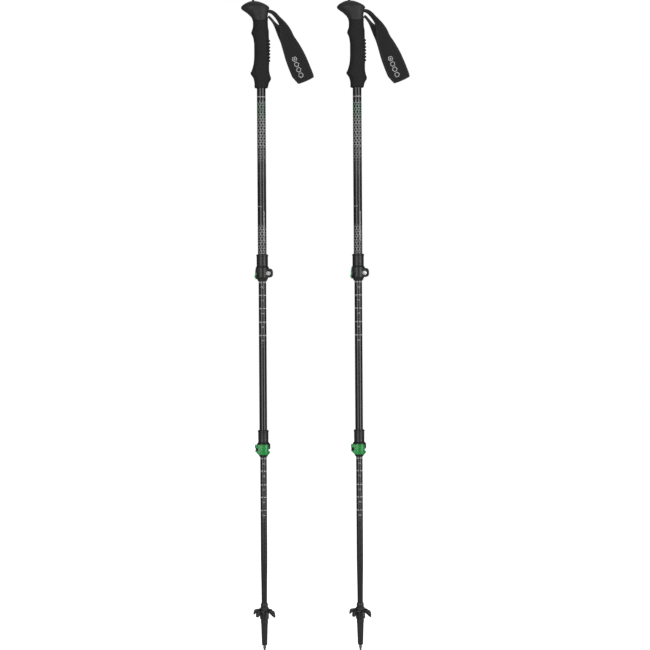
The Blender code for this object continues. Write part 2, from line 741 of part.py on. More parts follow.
def lever(lock):
    """The cam lever: a forked knuckle round the pin, and a shell that wraps round the clamp ring."""
    shell = tube(lock.lever_outer_r, lock.lever_inner_r, LEVER_BOTTOM, LEVER_TOP, LEVER_SIDES)
    swept = sector(LEVER_START, LEVER_TAB_END, FAR, LEVER_BOTTOM - PAST, LEVER_TOP + PAST)
    shell = kept_inside(shell, swept)
    knuckle = rod(
        (lock.bolt_x, lock.pin_y, KNUCKLE_BOTTOM),
        (lock.bolt_x, lock.pin_y, LEVER_TOP),
        KNUCKLE_R,
        WELL_SIDES,
    )
    finger_cut = sector(LEVER_SPLIT_END, LEVER_TAB_END + 20, FAR, LEVER_TAB_TOP, LEVER_TOP + PAST)
    slot_reach = EYE_R + 2 * FIT
    fork_slot = rod(
        (lock.bolt_x, lock.pin_y, -EYE_HALF - FIT),
        (lock.bolt_x, lock.pin_y, EYE_HALF + FIT),
        slot_reach,
        WELL_SIDES,
    )
    shaft_slot = box(
        (lock.bolt_x - BOLT_R - FIT, lock.pin_y - KNUCKLE_R - PAST, -EYE_HALF - FIT),
        (lock.bolt_x + KNUCKLE_R + PAST, lock.pin_y, EYE_HALF + FIT),
    )
    pin_hole = rod((lock.bolt_x, lock.pin_y, -FAR), (lock.bolt_x, lock.pin_y, FAR), PIN_R + FIT)
    sweep_slot = box(
        (lock.bolt_x, lock.pin_y - BOLT_R - FIT, -EYE_HALF - FIT),
        (lock.bolt_x + KNUCKLE_R + PAST, lock.pin_y + KNUCKLE_R + PAST, EYE_HALF + FIT),
    )
    return cut(joined(shell, knuckle), finger_cut, fork_slot, shaft_slot, sweep_slot, pin_hole)


def lever_pin(lock):
    """The pin that the lever turns on, through the bolt's eye."""
    return rod(
        (lock.bolt_x, lock.pin_y, KNUCKLE_BOTTOM + FIT), (lock.bolt_x, lock.pin_y, LEVER_TOP - FIT), PIN_R
    )


def guide_bush(tube_od, outer_tube_od):
    """A top-hat bush: its plug is pressed in the tube's upper end, its rim runs in the larger tube."""
    rim_r = outer_tube_od / 2 - TUBE_WALL - FIT
    plug_r = tube_od / 2 - TUBE_WALL - FIT
    bore_r = plug_r - BUSH_WALL
    return turned((
        (rim_r, BUSH_LENGTH),
        (rim_r, FIT),
        (plug_r, FIT),
        (plug_r, -BUSH_PLUG_LENGTH),
        (bore_r, -BUSH_PLUG_LENGTH),
        (bore_r, BUSH_LENGTH),
    ))


def plain_tube(od, bottom, top):
    """A straight drawn tube."""
    return tube(od / 2, od / 2 - TUBE_WALL, bottom, top)


def lower_tube():
    """The lower tube, drawn down to a smaller foot."""
    foot_r, body_r = LOWER_TUBE_FOOT_OD / 2, LOWER_TUBE_OD / 2
    taper_low, taper_high = (TUBE_SEAT + height for height in LOWER_TUBE_TAPER)
    top = TUBE_SEAT + LOWER_TUBE_LENGTH
    return turned((
        (body_r, top),
        (body_r, taper_high),
        (foot_r, taper_low),
        (foot_r, TUBE_SEAT),
        (foot_r - TUBE_WALL, TUBE_SEAT),
        (foot_r - TUBE_WALL, taper_low),
        (body_r - TUBE_WALL, taper_high),
        (body_r - TUBE_WALL, top),
    ))


def flex_tip():
    """The plastic foot: a rim, a plain thread zone for the basket, a cone, and a socket for the tube."""
    socket_r = LOWER_TUBE_FOOT_OD / 2 + FIT
    tip_r = FERRULE_R + TIP_WALL
    low, high = THREAD_SPAN
    return turned((
        (socket_r + SOCKET_RIM[0], FLEX_TIP_TOP),
        (socket_r + SOCKET_RIM[1], FLEX_TIP_TOP - SOCKET_RIM_DROP),
        (THREAD_R, high),
        (THREAD_R, low),
        *((SHOULDER_R - inwards, height) for inwards, height in TIP_CONE),
        (tip_r, FLEX_TIP_BOTTOM),
        (FERRULE_R + FIT, FLEX_TIP_BOTTOM),
        (FERRULE_R + FIT, FLEX_TIP_BOTTOM + TIP_ROOM),
        (TIP_CORE_R, FLEX_TIP_BOTTOM + TIP_ROOM),
        (TIP_CORE_R, TUBE_SEAT - 2 * FIT),
        (socket_r, TUBE_SEAT - 2 * FIT),
        (socket_r, FLEX_TIP_TOP),
    ), FOOT_SIDES)


def tip_ferrule():
    """The steel sleeve that holds the carbide, set in the flex tip."""
    bottom = FLEX_TIP_BOTTOM - FERRULE_LENGTH
    return turned((
        (FERRULE_R, FLEX_TIP_BOTTOM + FERRULE_SEAT),
        (FERRULE_R, bottom + FERRULE_BEVEL[1]),
        (FERRULE_R - FERRULE_BEVEL[0], bottom),
        (CARBIDE_R - CARBIDE_STEP + FIT, bottom),
        (CARBIDE_R - CARBIDE_STEP + FIT, FLEX_TIP_BOTTOM + FERRULE_SEAT),
    ), FERRULE_SIDES)


def carbide_tip():
    """The hard tip: a shank in the ferrule and a short flared crown with a flat face."""
    shoulder = FLEX_TIP_BOTTOM - FERRULE_LENGTH - FIT
    return turned((
        (0.0, FLEX_TIP_BOTTOM + CARBIDE_SEAT),
        (CARBIDE_R - CARBIDE_STEP, FLEX_TIP_BOTTOM + CARBIDE_SEAT),
        (CARBIDE_R - CARBIDE_STEP, shoulder),
        (CARBIDE_R, shoulder - CARBIDE_STEP),
        (CARBIDE_R, CARBIDE_BEVEL),
        (CARBIDE_R - CARBIDE_STEP, 0.0),
        (0.0, 0.0),
    ), FERRULE_SIDES)


def basket():
    """The basket: a hub with a bore for the flex tip's thread, and a drooping web of six lobes."""
    bore_r = THREAD_R + FIT
    hub_r = bore_r + BASKET_HUB_WALL
    hub_top = BASKET_Z + BASKET_HUB_HEIGHT
    web_z = BASKET_Z + BASKET_WEB_HEIGHT
    rim_z = web_z - BASKET_RISE
    root_r = hub_r - BASKET_HUB_WALL / 3
    bevel, top_bevel, foot_bevel = BASKET_HUB_BEVEL
    bend_r, bend_z = BASKET_R * BASKET_ARCH[0], rim_z + BASKET_ARCH[1]
    hub = turned((
        (hub_r - bevel, hub_top),
        (hub_r, hub_top - top_bevel),
        (hub_r, BASKET_Z + foot_bevel),
        (hub_r - bevel, BASKET_Z),
        (bore_r, BASKET_Z),
        (bore_r, hub_top),
    ), FOOT_SIDES)
    web = turned((
        (root_r, web_z),
        (bend_r, bend_z),
        (BASKET_R - BASKET_WEB / 3, rim_z + BASKET_WEB / 3),
        (BASKET_R, rim_z - BASKET_RIM_BEAD),
        (BASKET_R - BASKET_WEB, rim_z - BASKET_RIM_BEAD),
        (BASKET_R - BASKET_WEB * 4 / 3, rim_z - BASKET_WEB / 2),
        (bend_r - BASKET_WEB / 2, bend_z - BASKET_WEB),
        (root_r, web_z - BASKET_WEB * 3 / 2),
    ), 4 * BASKET_LOBES)
    notches = []
    for i in range(BASKET_LOBES):
        angle = 2 * math.pi * (i + 0.5) / BASKET_LOBES + math.radians(BASKET_TURN)
        out = Vector((math.cos(angle), math.sin(angle), 0.0))
        middle = out * (BASKET_R * BASKET_NOTCH[0]) + Vector((0.0, 0.0, rim_z))
        reach = Vector((0.0, 0.0, BASKET_HUB_HEIGHT / 2))
        notches.append(rod(middle - reach, middle + reach, BASKET_R * BASKET_NOTCH[1], 8))
    web = cut(web, *notches)
    return joined(hub, web)


def moved_mesh(obj, origin):
    """The object's mesh about a new origin, cleaned of doubles, with the object itself removed."""
    shape = bmesh.new()
    baked(obj)
    shape.from_mesh(obj.data)
    bmesh.ops.translate(shape, vec=-Vector(origin), verts=shape.verts)
    bmesh.ops.remove_doubles(shape, verts=shape.verts, dist=0.000002)
    bmesh.ops.dissolve_degenerate(shape, edges=shape.edges, dist=0.000002)
    mesh = bpy.data.meshes.new(obj.name)
    shape.to_mesh(mesh)
    shape.free()
    bpy.data.objects.remove(obj, do_unlink=True)
    mesh.shade_smooth()
    mesh.set_sharp_from_angle(angle=math.radians(35))
    return mesh


def empty(name, parent, location, turn=0.0):
    """An empty that groups a section or a lock, turned about Z."""
    obj = bpy.data.objects.new(name, None)
    obj.empty_display_size = 0.02
    obj.parent = parent
    obj.location = location
    obj.rotation_euler = (0.0, 0.0, math.radians(turn))
    PARTS.objects.link(obj)
    return obj


def place(name, mesh, parent, location=(0.0, 0.0, 0.0)):
    """One piece under its section."""
    obj = bpy.data.objects.new(name, mesh)
    obj.parent = parent
    obj.location = location
    PARTS.objects.link(obj)
    return obj


def lock_pieces(lock):
    """The six pieces of a lock: name, mesh, material and the origin that it is modelled about."""
    bolt = (lock.bolt_x, 0.0, 0.0)
    pivot = (lock.bolt_x, lock.pin_y, 0.0)
    made = (
        ("collar", collar(lock), "collar", (0.0, 0.0, 0.0)),
        ("bolt", eye_bolt(lock), "steel", bolt),
        ("cam_plate", cam_plate(lock), "acetal", bolt),
        ("lever", lever(lock), "lever", pivot),
        ("lever_pin", lever_pin(lock), "steel", pivot),
        ("tension_nut", tension_nut(lock), "steel", bolt),
    )
    return [(name, moved_mesh(obj, origin), material, origin) for name, obj, material, origin in made]


def pole_pieces():
    """Every piece of a pole but its locks: name, mesh, material, section and origin."""
    hinge = (HINGE_X, 0.0, HEAD_Z + HINGE_HEIGHT)
    stem = (LOCK_STEM_X, 0.0, HEAD_Z + LOCK_STEM_TOP)
    axis = (0.0, 0.0, 0.0)
    middle_bottom = LOWER_LOCK_Z + SEAT_HEIGHT
    middle_top = middle_bottom + MIDDLE_TUBE_LENGTH
    lower_top = TUBE_SEAT + LOWER_TUBE_LENGTH
    upper_bottom = UPPER_LOCK_Z + SEAT_HEIGHT
    made = (
        ("grip_foam", foam_grip(), "foam", "pole", axis),
        ("grip_head", grip_head(), "rubber", "pole", axis),
        ("strap_pin", strap_pin(), "steel", "pole", axis),
        ("strap_lock", strap_lock(), "rubber", "pole", stem),
        ("strap_anchor", strap_anchor(), "webbing", "pole", axis),
        ("strap_loop", strap_loop(), "webbing", "pole", hinge),
        ("upper_tube", plain_tube(UPPER_TUBE_OD, upper_bottom, HEAD_Z - FIT), "tube", "pole", axis),
        ("middle_tube", plain_tube(MIDDLE_TUBE_OD, middle_bottom, middle_top), "tube", "middle", axis),
        ("lower_tube", lower_tube(), "tube", "lower", axis),
        ("flex_tip", flex_tip(), "nylon", "lower", axis),
        ("tip_ferrule", tip_ferrule(), "steel", "lower", axis),
        ("carbide_tip", carbide_tip(), "carbide", "lower", axis),
        ("basket", basket(), "nylon", "lower", axis),
    )
    found = [
        (name, moved_mesh(obj, origin), material, section, origin)
        for name, obj, material, section, origin in made
    ]
    bushes = (
        ("middle", MIDDLE_TUBE_OD, UPPER_TUBE_OD, middle_top),
        ("lower", LOWER_TUBE_OD, MIDDLE_TUBE_OD, lower_top),
    )
    for name, od, outer_od, top in bushes:
        mesh = moved_mesh(guide_bush(od, outer_od), axis)
        found.append((f"{name}_guide_bush", mesh, "acetal", name, (0.0, 0.0, top)))
    return found


def build():
    """Both poles, with their shared meshes."""
    global PARTS, CUTTERS
    clear_scene()
    PARTS = new_collection("trekking_poles")
    CUTTERS = new_collection("cutters")
    materials = {name: new_material(name, *values) for name, values in MATERIALS.items()}
    pieces = pole_pieces()
    locks = {
        "upper_lock": (lock_pieces(UPPER_LOCK), "pole", UPPER_LOCK_Z, UPPER_LOCK_TURN),
        "lower_lock": (lock_pieces(LOWER_LOCK), "middle", LOWER_LOCK_Z, LOWER_LOCK_TURN),
    }
    for side, x in (("left", 0.0), ("right", POLE_SPACING)):
        pole = empty(f"{side}_pole", None, (x, 0.0, 0.0))
        sections = {
            "pole": pole,
            "middle": empty(f"{side}_middle_section", pole, (0.0, 0.0, 0.0)),
        }
        sections["lower"] = empty(f"{side}_lower_section", sections["middle"], (0.0, 0.0, 0.0))
        for name, mesh, material, section, origin in pieces:
            if not mesh.materials:
                mesh.materials.append(materials[material])
            place(f"{side}_{name}", mesh, sections[section], origin)
        for lock_name, (parts, section, height, turn) in locks.items():
            holder = empty(f"{side}_{lock_name}", sections[section], (0.0, 0.0, height), turn)
            for name, mesh, material, origin in parts:
                if not mesh.materials:
                    mesh.materials.append(materials[material])
                place(f"{side}_{lock_name}_{name}", mesh, holder, origin)


build()
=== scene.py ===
"""The looks of a pair of three-section trekking poles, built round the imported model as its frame.

Every length is in metres in the frame of the model: +Z up the poles, the noses of the grips to -X,
the straps to +X, and the tip face of the left pole at the origin.
"""

import logging
import math
from dataclasses import dataclass, replace
from enum import Enum
from typing import Any, Callable, Mapping, Optional, Protocol, Sequence, Union

import bmesh
import bpy
import numpy as np
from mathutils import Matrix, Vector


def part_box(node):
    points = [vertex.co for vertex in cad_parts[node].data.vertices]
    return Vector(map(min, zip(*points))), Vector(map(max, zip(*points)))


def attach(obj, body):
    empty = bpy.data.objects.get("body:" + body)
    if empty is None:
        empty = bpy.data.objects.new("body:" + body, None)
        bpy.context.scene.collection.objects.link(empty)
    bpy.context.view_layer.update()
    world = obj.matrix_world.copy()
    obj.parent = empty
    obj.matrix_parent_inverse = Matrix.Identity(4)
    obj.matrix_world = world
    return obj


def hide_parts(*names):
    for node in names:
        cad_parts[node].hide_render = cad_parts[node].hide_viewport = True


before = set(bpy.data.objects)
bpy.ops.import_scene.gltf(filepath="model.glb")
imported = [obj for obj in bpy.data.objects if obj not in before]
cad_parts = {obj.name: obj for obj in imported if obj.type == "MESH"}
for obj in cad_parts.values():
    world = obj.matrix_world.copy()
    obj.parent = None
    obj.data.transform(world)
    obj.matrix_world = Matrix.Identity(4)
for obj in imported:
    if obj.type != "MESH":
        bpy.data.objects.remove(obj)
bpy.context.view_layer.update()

log = logging.getLogger("poles")
Array = np.ndarray
Number = Union["Wire", float]
Colour = tuple[float, float, float]
Profile = Sequence[tuple[float, float]]
Tint = Union[Colour, bpy.types.NodeSocket]

WELD = 0.000001  # how close two points of a mesh are to be one
SHARP = 40.0  # degrees between two faces from which their edge shows


# ---------------------------------------------------------------- shapes from whole arrays


@dataclass(frozen=True)
class Grid:
    """A sheet of points in rows and columns.

    Attributes:
        points: The points, rows by columns by 3.
        ring_rows: Whether the last row joins the first.
        ring_columns: Whether the last column joins the first.
        capped: Whether a face closes the first row and another the last.
        chart: Each point's place on the piece's own map, with one more row or column where it joins.
    """

    points: Array
    ring_rows: bool = False
    ring_columns: bool = False
    capped: bool = False
    chart: Optional[Array] = None

    def placed(self, turn: float, to: Sequence[float]) -> "Grid":
        """The grid turned about Z by an angle in degrees and then moved.

        Args:
            turn: The angle.
            to: The way that it moves.
        """
        angle = math.radians(turn)
        rotation = np.array([
            [math.cos(angle), -math.sin(angle), 0.0],
            [math.sin(angle), math.cos(angle), 0.0],
            [0.0, 0.0, 1.0],
        ])
        return replace(self, points=self.points @ rotation.T + np.asarray(to, float))

    def shaped(self, change: Callable[[Array], Array]) -> "Grid":
        """The grid with a function applied to its points."""
        return replace(self, points=change(self.points))


def mesh_from(name: str, grids: Sequence[Grid]) -> bpy.types.Mesh:
    """One mesh of several grids, with its doubles merged and its faces turned outwards.

    Args:
        name: The mesh's name.
        grids: The sheets, each closed on itself or by its caps.

    Returns:
        The mesh, with a map named Chart.
    """
    faces: list[list[int]] = []
    places: list[Array] = []
    start = 0
    for grid in grids:
        rows, columns = grid.points.shape[:2]
        index = start + np.arange(rows * columns).reshape(rows, columns)
        start += rows * columns
        wide = np.pad(index, ((0, int(grid.ring_rows)), (0, int(grid.ring_columns))), mode="wrap")
        chart = np.zeros((*wide.shape, 2)) if grid.chart is None else grid.chart
        corners = (wide[:-1, :-1], wide[:-1, 1:], wide[1:, 1:], wide[1:, :-1])
        faces += np.stack(corners, axis=-1).reshape(-1, 4).tolist()
        mapped = (chart[:-1, :-1], chart[:-1, 1:], chart[1:, 1:], chart[1:, :-1])
        places.append(np.stack(mapped, axis=2).reshape(-1, 2))
        if grid.capped:
            faces += [index[0][::-1].tolist(), index[-1].tolist()]
            places += [chart[0, :columns][::-1], chart[-1, :columns]]
    mesh = bpy.data.meshes.new(name)
    mesh.from_pydata(np.concatenate([grid.points.reshape(-1, 3) for grid in grids]), [], faces)
    layer = mesh.uv_layers.new(name="Chart")
    layer.data.foreach_set("uv", np.concatenate(places).astype(np.float32).ravel())
    shape = bmesh.new()
    shape.from_mesh(mesh)
    bmesh.ops.remove_doubles(shape, verts=shape.verts, dist=WELD)
    bmesh.ops.recalc_face_normals(shape, faces=shape.faces)
    shape.to_mesh(mesh)
    shape.free()
    mesh.polygons.foreach_set("use_smooth", np.ones(len(mesh.polygons), bool))
    mesh.set_sharp_from_angle(angle=math.radians(SHARP))
    return mesh


def eased(low: float, high: float, at: Array) -> Array:
    """A smooth step: 0 up to low, 1 from high, and 3t^2 - 2t^3 of the share t between them."""
    share = np.clip((np.asarray(at, float) - low) / (high - low), 0.0, 1.0)
    return share * share * (3.0 - 2.0 * share)


def along_table(table: Array, at: Array) -> Array:
    """The columns of a table between its rows, on cubics that never pass beyond a row's value.

    The slope at a row is the harmonic mean of the slopes on either side of it, or nothing where
    they have opposite signs.

    Args:
        table: Rows of a place and the values there, in the order of the places.
        at: The places asked for, of any shape.

    Returns:
        The values, with one more axis than at.
    """
    place, value = table[:, 0], table[:, 1:]
    secant = np.diff(value, axis=0) / np.diff(place)[:, None]
    before, after = secant[:-1], secant[1:]
    total = np.where(np.abs(before + after) < 1e-12, 1.0, before + after)
    middle = np.where(before * after > 0, 2.0 * before * after / total, 0.0)
    slope = np.vstack([secant[:1], middle, secant[-1:]])
    i = np.clip(np.searchsorted(place, at, side="right") - 1, 0, len(place) - 2)
    gap = (place[i + 1] - place[i])[..., None]
    t = (np.clip(at, place[0], place[-1]) - place[i])[..., None] / gap
    return (
        (2 * t**3 - 3 * t**2 + 1) * value[i]
        + (t**3 - 2 * t**2 + t) * gap * slope[i]
        + (3 * t**2 - 2 * t**3) * value[i + 1]
        + (t**3 - t**2) * gap * slope[i + 1]
    )


def rounded(corners: Profile, radius: float, ring: bool = True, steps: int = 5) -> Array:
    """A flat outline with its corners rounded.

    A corner P becomes the quadratic curve (1-t)^2 A + 2t(1-t) P + t^2 B between points A and B, which
    lie on the sides a radius away, or nearly half a side where the side is short.

    Args:
        corners: The outline's corners.
        radius: How far from each corner the curve starts.
        ring: Whether the outline closes on itself. If not, its two ends stay as they are.
        steps: Stretches along each curve.

    Returns:
        The points, two numbers each.
    """
    point = np.asarray(corners, float)
    before, after = np.roll(point, 1, axis=0) - point, np.roll(point, -1, axis=0) - point

    def reach(side: Array) -> Array:
        """The way from each corner along one of its sides to where its curve starts."""
        length = np.linalg.norm(side, axis=1, keepdims=True)
        return side / length * np.minimum(radius, 0.48 * length)

    first, last = point + reach(before), point + reach(after)
    t = np.linspace(0.0, 1.0, steps + 1)[None, :, None]
    curve = (1 - t) ** 2 * first[:, None] + 2 * t * (1 - t) * point[:, None] + t**2 * last[:, None]
    if ring:
        return curve.reshape(-1, 2)
    return np.vstack([point[:1], curve[1:-1].reshape(-1, 2), point[-1:]])


def turned(
    profile: Array,
    centre: tuple[float, float] = (0.0, 0.0),
    arc: Optional[tuple[float, float]] = None,
    sides: int = 96,
    ring: bool = True,
) -> Grid:
    """A profile carried round an upright axis: x = r cos a, y = r sin a, and z as in the profile.

    Args:
        profile: Points of a radius and a height.
        centre: Where the axis stands.
        arc: The angles in degrees between which it turns, or nothing for a whole turn.
        sides: How many steps a whole turn has.
        ring: Whether the profile closes on itself.

    Returns:
        The grid. Its map has the way round at the widest radius, and the height.
    """
    start, end = arc or (90.0, 450.0)
    count = max(3, round(sides * (end - start) / 360.0))
    angle = np.radians(np.linspace(start, end, count + 1))
    widest = profile[:, 0].max()
    heights = np.append(profile[:, 1], profile[:1, 1]) if ring else profile[:, 1]
    chart = np.stack(np.meshgrid((angle - angle[0]) * widest, heights, indexing="ij"), axis=-1)
    if arc is None:
        angle = angle[:-1]
    r, z = profile[None, :, 0], profile[None, :, 1]
    points = np.stack([
        centre[0] + r * np.cos(angle)[:, None],
        centre[1] + r * np.sin(angle)[:, None],
        np.broadcast_to(z, (len(angle), len(profile))),
    ], axis=-1)
    return Grid(points, arc is None, ring, arc is not None, chart)


def slab(outline: Callable[[Array], Array], low: float, high: float, edge: float, rows: int = 6) -> Grid:
    """A plate in X and Z, thick along Y, with its two rims rounded by quarter circles.

    At an angle f on a rim's quarter circle the outline lies edge (1 - sin f) inside its full size,
    at edge (1 - cos f) from the plate's face.

    Args:
        outline: Gives the outline, points of an x and a z, at each y of an array.
        low: The plate's first face.
        high: The plate's second face.
        edge: The rims' radius.
        rows: Rows of points on each rim.

    Returns:
        The grid, closed by its caps.
    """
    f = np.linspace(0.0, math.pi / 2, rows)
    depth = np.concatenate([low + edge * (1 - np.cos(f)), (high - edge * (1 - np.cos(f)))[::-1]])
    inset = np.concatenate([edge * (1 - np.sin(f)), (edge * (1 - np.sin(f)))[::-1]])
    flat = outline(depth)
    tangent = np.roll(flat, -1, axis=1) - np.roll(flat, 1, axis=1)
    tangent /= np.maximum(np.linalg.norm(tangent, axis=2, keepdims=True), 1e-9)
    outwards = np.stack([tangent[..., 1], -tangent[..., 0]], axis=-1)
    flat = flat - outwards * inset[:, None, None]
    y = np.broadcast_to(depth[:, None], flat.shape[:2])
    return Grid(np.stack([flat[..., 0], y, flat[..., 1]], axis=-1), ring_columns=True, capped=True)


def steady(outline: Array) -> Callable[[Array], Array]:
    """For slab, an outline that is the same at every depth."""

    def at(depth: Array) -> Array:
        """The outline, once for each depth."""
        return np.broadcast_to(outline, (len(depth), *outline.shape))

    return at


# ---------------------------------------------------------------- materials


class Wire:
    """A number that a node gives, on which Python's operators add Math nodes."""

    def __init__(self, graph: "Graph", socket: bpy.types.NodeSocket) -> None:
        """Keeps the graph and the socket."""
        self.graph = graph
        self.socket = socket

    def __add__(self, other: Number) -> "Wire":
        """The sum."""
        return self.graph.maths("ADD", self, other)

    __radd__ = __add__

    def __sub__(self, other: Number) -> "Wire":
        """The difference."""
        return self.graph.maths("SUBTRACT", self, other)

    def __rsub__(self, other: Number) -> "Wire":
        """The difference, from the other."""
        return self.graph.maths("SUBTRACT", other, self)

    def __mul__(self, other: Number) -> "Wire":
        """The product."""
        return self.graph.maths("MULTIPLY", self, other)

    __rmul__ = __mul__

    def __mod__(self, other: Number) -> "Wire":
        """What is left of a division, never below zero."""
        return self.graph.maths("FLOORED_MODULO", self, other)

    def __abs__(self) -> "Wire":
        """The size without the sign."""
        return self.graph.maths("ABSOLUTE", self)

    def __lt__(self, other: Number) -> "Wire":
        """1 where it is less, 0 elsewhere."""
        return self.graph.maths("LESS_THAN", self, other)

    def __gt__(self, other: Number) -> "Wire":
        """1 where it is more, 0 elsewhere."""
        return self.graph.maths("GREATER_THAN", self, other)


class Graph:
    """The nodes of one material, round one Principled shader."""

    def __init__(self, name: str, **sockets: Any) -> None:
        """Makes the material.

        Args:
            name: The material's name.
            sockets: Constants for the shader's own sockets, by name with _ for a space.
        """
        self.material = bpy.data.materials.new(name)
        self.material.use_nodes = True
        self.tree = self.material.node_tree
        self.tree.nodes.clear()
        self.shader = self.node("ShaderNodeBsdfPrincipled")
        for key, value in sockets.items():
            self.shader.inputs[key.replace("_", " ")].default_value = value
        self.node("ShaderNodeOutputMaterial", None, {"Surface": self.shader.outputs["BSDF"]})

    def node(
        self, kind: str, settings: Optional[Mapping[str, Any]] = None, inputs: Optional[Mapping[Any, Any]] = None
    ) -> bpy.types.Node:
        """Adds a node.

        Args:
            kind: The node's type.
            settings: Its own settings, set first.
            inputs: Values, wires or sockets for its inputs, by name or number.

        Returns:
            The node.
        """
        made = self.tree.nodes.new(kind)
        for key, value in (settings or {}).items():
            setattr(made, key, value)
        for key, value in (inputs or {}).items():
            if isinstance(value, Wire):
                value = value.socket
            if isinstance(value, bpy.types.NodeSocket):
                self.tree.links.new(value, made.inputs[key])
            else:
                made.inputs[key].default_value = value
        return made

    def maths(self, operation: str, *values: Number) -> Wire:
        """The result of one Math node."""
        made = self.node("ShaderNodeMath", {"operation": operation}, dict(enumerate(values)))
        return Wire(self, made.outputs[0])

    def step(self, low: float, high: float, value: Number) -> Wire:
        """A smooth step of a number from 0 at low to 1 at high.

        Args:
            low: Where the step starts.
            high: Where it ends.
            value: The number.
        """
        made = self.node(
            "ShaderNodeMapRange",
            {"interpolation_type": "SMOOTHSTEP"},
            {"Value": value, "From Min": low, "From Max": high},
        )
        return Wire(self, made.outputs["Result"])

    def band(self, value: Wire, low: float, high: float, soft: float) -> Wire:
        """1 between two values and 0 outside them, with soft ends.

        Args:
            value: The number.
            low: The lower value.
            high: The upper value.
            soft: Half the width of each end's step.
        """
        return self.step(low - soft, low + soft, value) * (1 - self.step(high - soft, high + soft, value))

    def parts(self, vector: bpy.types.NodeSocket) -> tuple[Wire, Wire, Wire]:
        """The three numbers of a vector."""
        made = self.node("ShaderNodeSeparateXYZ", None, {0: vector})
        return tuple(Wire(self, made.outputs[i]) for i in range(3))

    def place(self) -> bpy.types.NodeSocket:
        """The object's own coordinates."""
        return self.node("ShaderNodeTexCoord").outputs["Object"]

    def chart(self) -> tuple[Wire, Wire]:
        """The two numbers of the piece's own map."""
        across, up, _ = self.parts(self.node("ShaderNodeUVMap", {"uv_map": "Chart"}).outputs["UV"])
        return across, up

    def noise(self, scale: float, detail: float = 3.0, stretch: Optional[Sequence[float]] = None) -> Wire:
        """A noise over the object's own coordinates, drawn out by the inverse of stretch.

        Args:
            scale: How fine it is.
            detail: How many finer layers it has.
            stretch: The scale along each axis, or nothing.
        """
        place = self.place()
        if stretch:
            place = self.node("ShaderNodeMapping", None, {"Vector": place, "Scale": stretch}).outputs[0]
        made = self.node(
            "ShaderNodeTexNoise", None, {"Vector": place, "Scale": scale, "Detail": detail, "Roughness": 0.6}
        )
        return Wire(self, made.outputs["Fac"])

    def cells(self, scale: float) -> Wire:
        """The distance to the nearest of a scatter of points, over the object's own coordinates."""
        made = self.node("ShaderNodeTexVoronoi", None, {"Vector": self.place(), "Scale": scale})
        return Wire(self, made.outputs["Distance"])

    def blend(self, share: Number, first: Tint, second: Tint) -> bpy.types.NodeSocket:
        """A colour between two colours or sockets.

        Args:
            share: 0 for the first, 1 for the second.
            first: The first.
            second: The second.
        """
        made = self.node("ShaderNodeMix", {"data_type": "RGBA"}, {"Factor": share})
        for name, value in (("A", first), ("B", second)):
            socket = next(s for s in made.inputs if s.name == name and s.type == "RGBA")
            if isinstance(value, bpy.types.NodeSocket):
                self.tree.links.new(value, socket)
            else:
                socket.default_value = (*value, 1.0)
        return next(s for s in made.outputs if s.type == "RGBA")

    def colour(self, socket: bpy.types.NodeSocket) -> None:
        """Feeds the shader's base colour."""
        self.tree.links.new(socket, self.shader.inputs["Base Color"])

    def rough(self, wire: Wire) -> None:
        """Feeds the shader's roughness."""
        self.tree.links.new(wire.socket, self.shader.inputs["Roughness"])

    def bump(self, height: Wire, depth: float, strength: float = 1.0) -> None:
        """Feeds the shader's normal with a relief of a height in units of depth.

        Args:
            height: The relief's height.
            depth: The unit.
            strength: How much of it shows.
        """
        made = self.node("ShaderNodeBump", None, {"Height": height, "Distance": depth, "Strength": strength})
        self.tree.links.new(made.outputs["Normal"], self.shader.inputs["Normal"])

    def hexagon(self, x: Wire, y: Wire) -> Wire:
        """How far a point is from a hexagon's centre, counted to its flats, one of which faces X.

        It is the larger of |x| and half |x| plus root three halves |y|.
        """
        return self.maths("MAXIMUM", abs(x), abs(x) * 0.5 + abs(y) * (math.sqrt(3) / 2))

    def net(self, x: Wire, y: Wire, pitch: float, line: float) -> Wire:
        """A net of hexagons: 1 on its lines and 0 in its cells.

        Two grids of oblong tiles, half a tile apart, have the cells' centres in their middles, and a
        point belongs to the nearer centre.

        Args:
            x: The way round.
            y: The way up.
            pitch: From one cell's middle to the next one's beside it.
            line: The lines' width.

        Returns:
            The mask.
        """
        tall = pitch * math.sqrt(3)
        ax, ay = x % pitch - pitch / 2, y % tall - tall / 2
        bx, by = (x + pitch / 2) % pitch - pitch / 2, (y + tall / 2) % tall - tall / 2
        nearer = (ax * ax + ay * ay) < (bx * bx + by * by)
        away = self.hexagon(bx + nearer * (ax - bx), by + nearer * (ay - by))
        return self.step(pitch / 2 - line * 0.65, pitch / 2 - line * 0.35, away)


class Finish(Protocol):
    """What every finish has."""

    @property
    def name(self) -> str:
        """The material's name."""

    def made(self) -> bpy.types.Material:
        """The material."""


@dataclass(frozen=True)
class FoamFinish:
    """Moulded closed-cell foam: fine open pores, a soft mottle, and a dull skin.

    Attributes:
        name: The material's name.
        dark: The colour of its hollows.
        light: The colour of its skin.
        pore: The pores' size.
        relief: The pores' depth.
        rough: The roughness about which it varies.
    """

    name: str
    dark: Colour
    light: Colour
    pore: float
    relief: float
    rough: float

    def made(self) -> bpy.types.Material:
        """The material."""
        graph = Graph(self.name, Specular_IOR_Level=0.35)
        pores = graph.cells(1.0 / self.pore)
        fine = graph.noise(0.6 / self.pore, 4.0)
        broad = graph.noise(28.0, 2.0)
        share = 0.45 * fine + 0.35 * broad + 0.30 * graph.step(0.1, 0.6, pores)
        graph.colour(graph.blend(graph.step(0.2, 0.85, share), self.dark, self.light))
        graph.rough(self.rough + 0.12 * (fine - 0.5))
        graph.bump(pores * 0.6 + fine * 0.8, self.relief)
        return graph.material


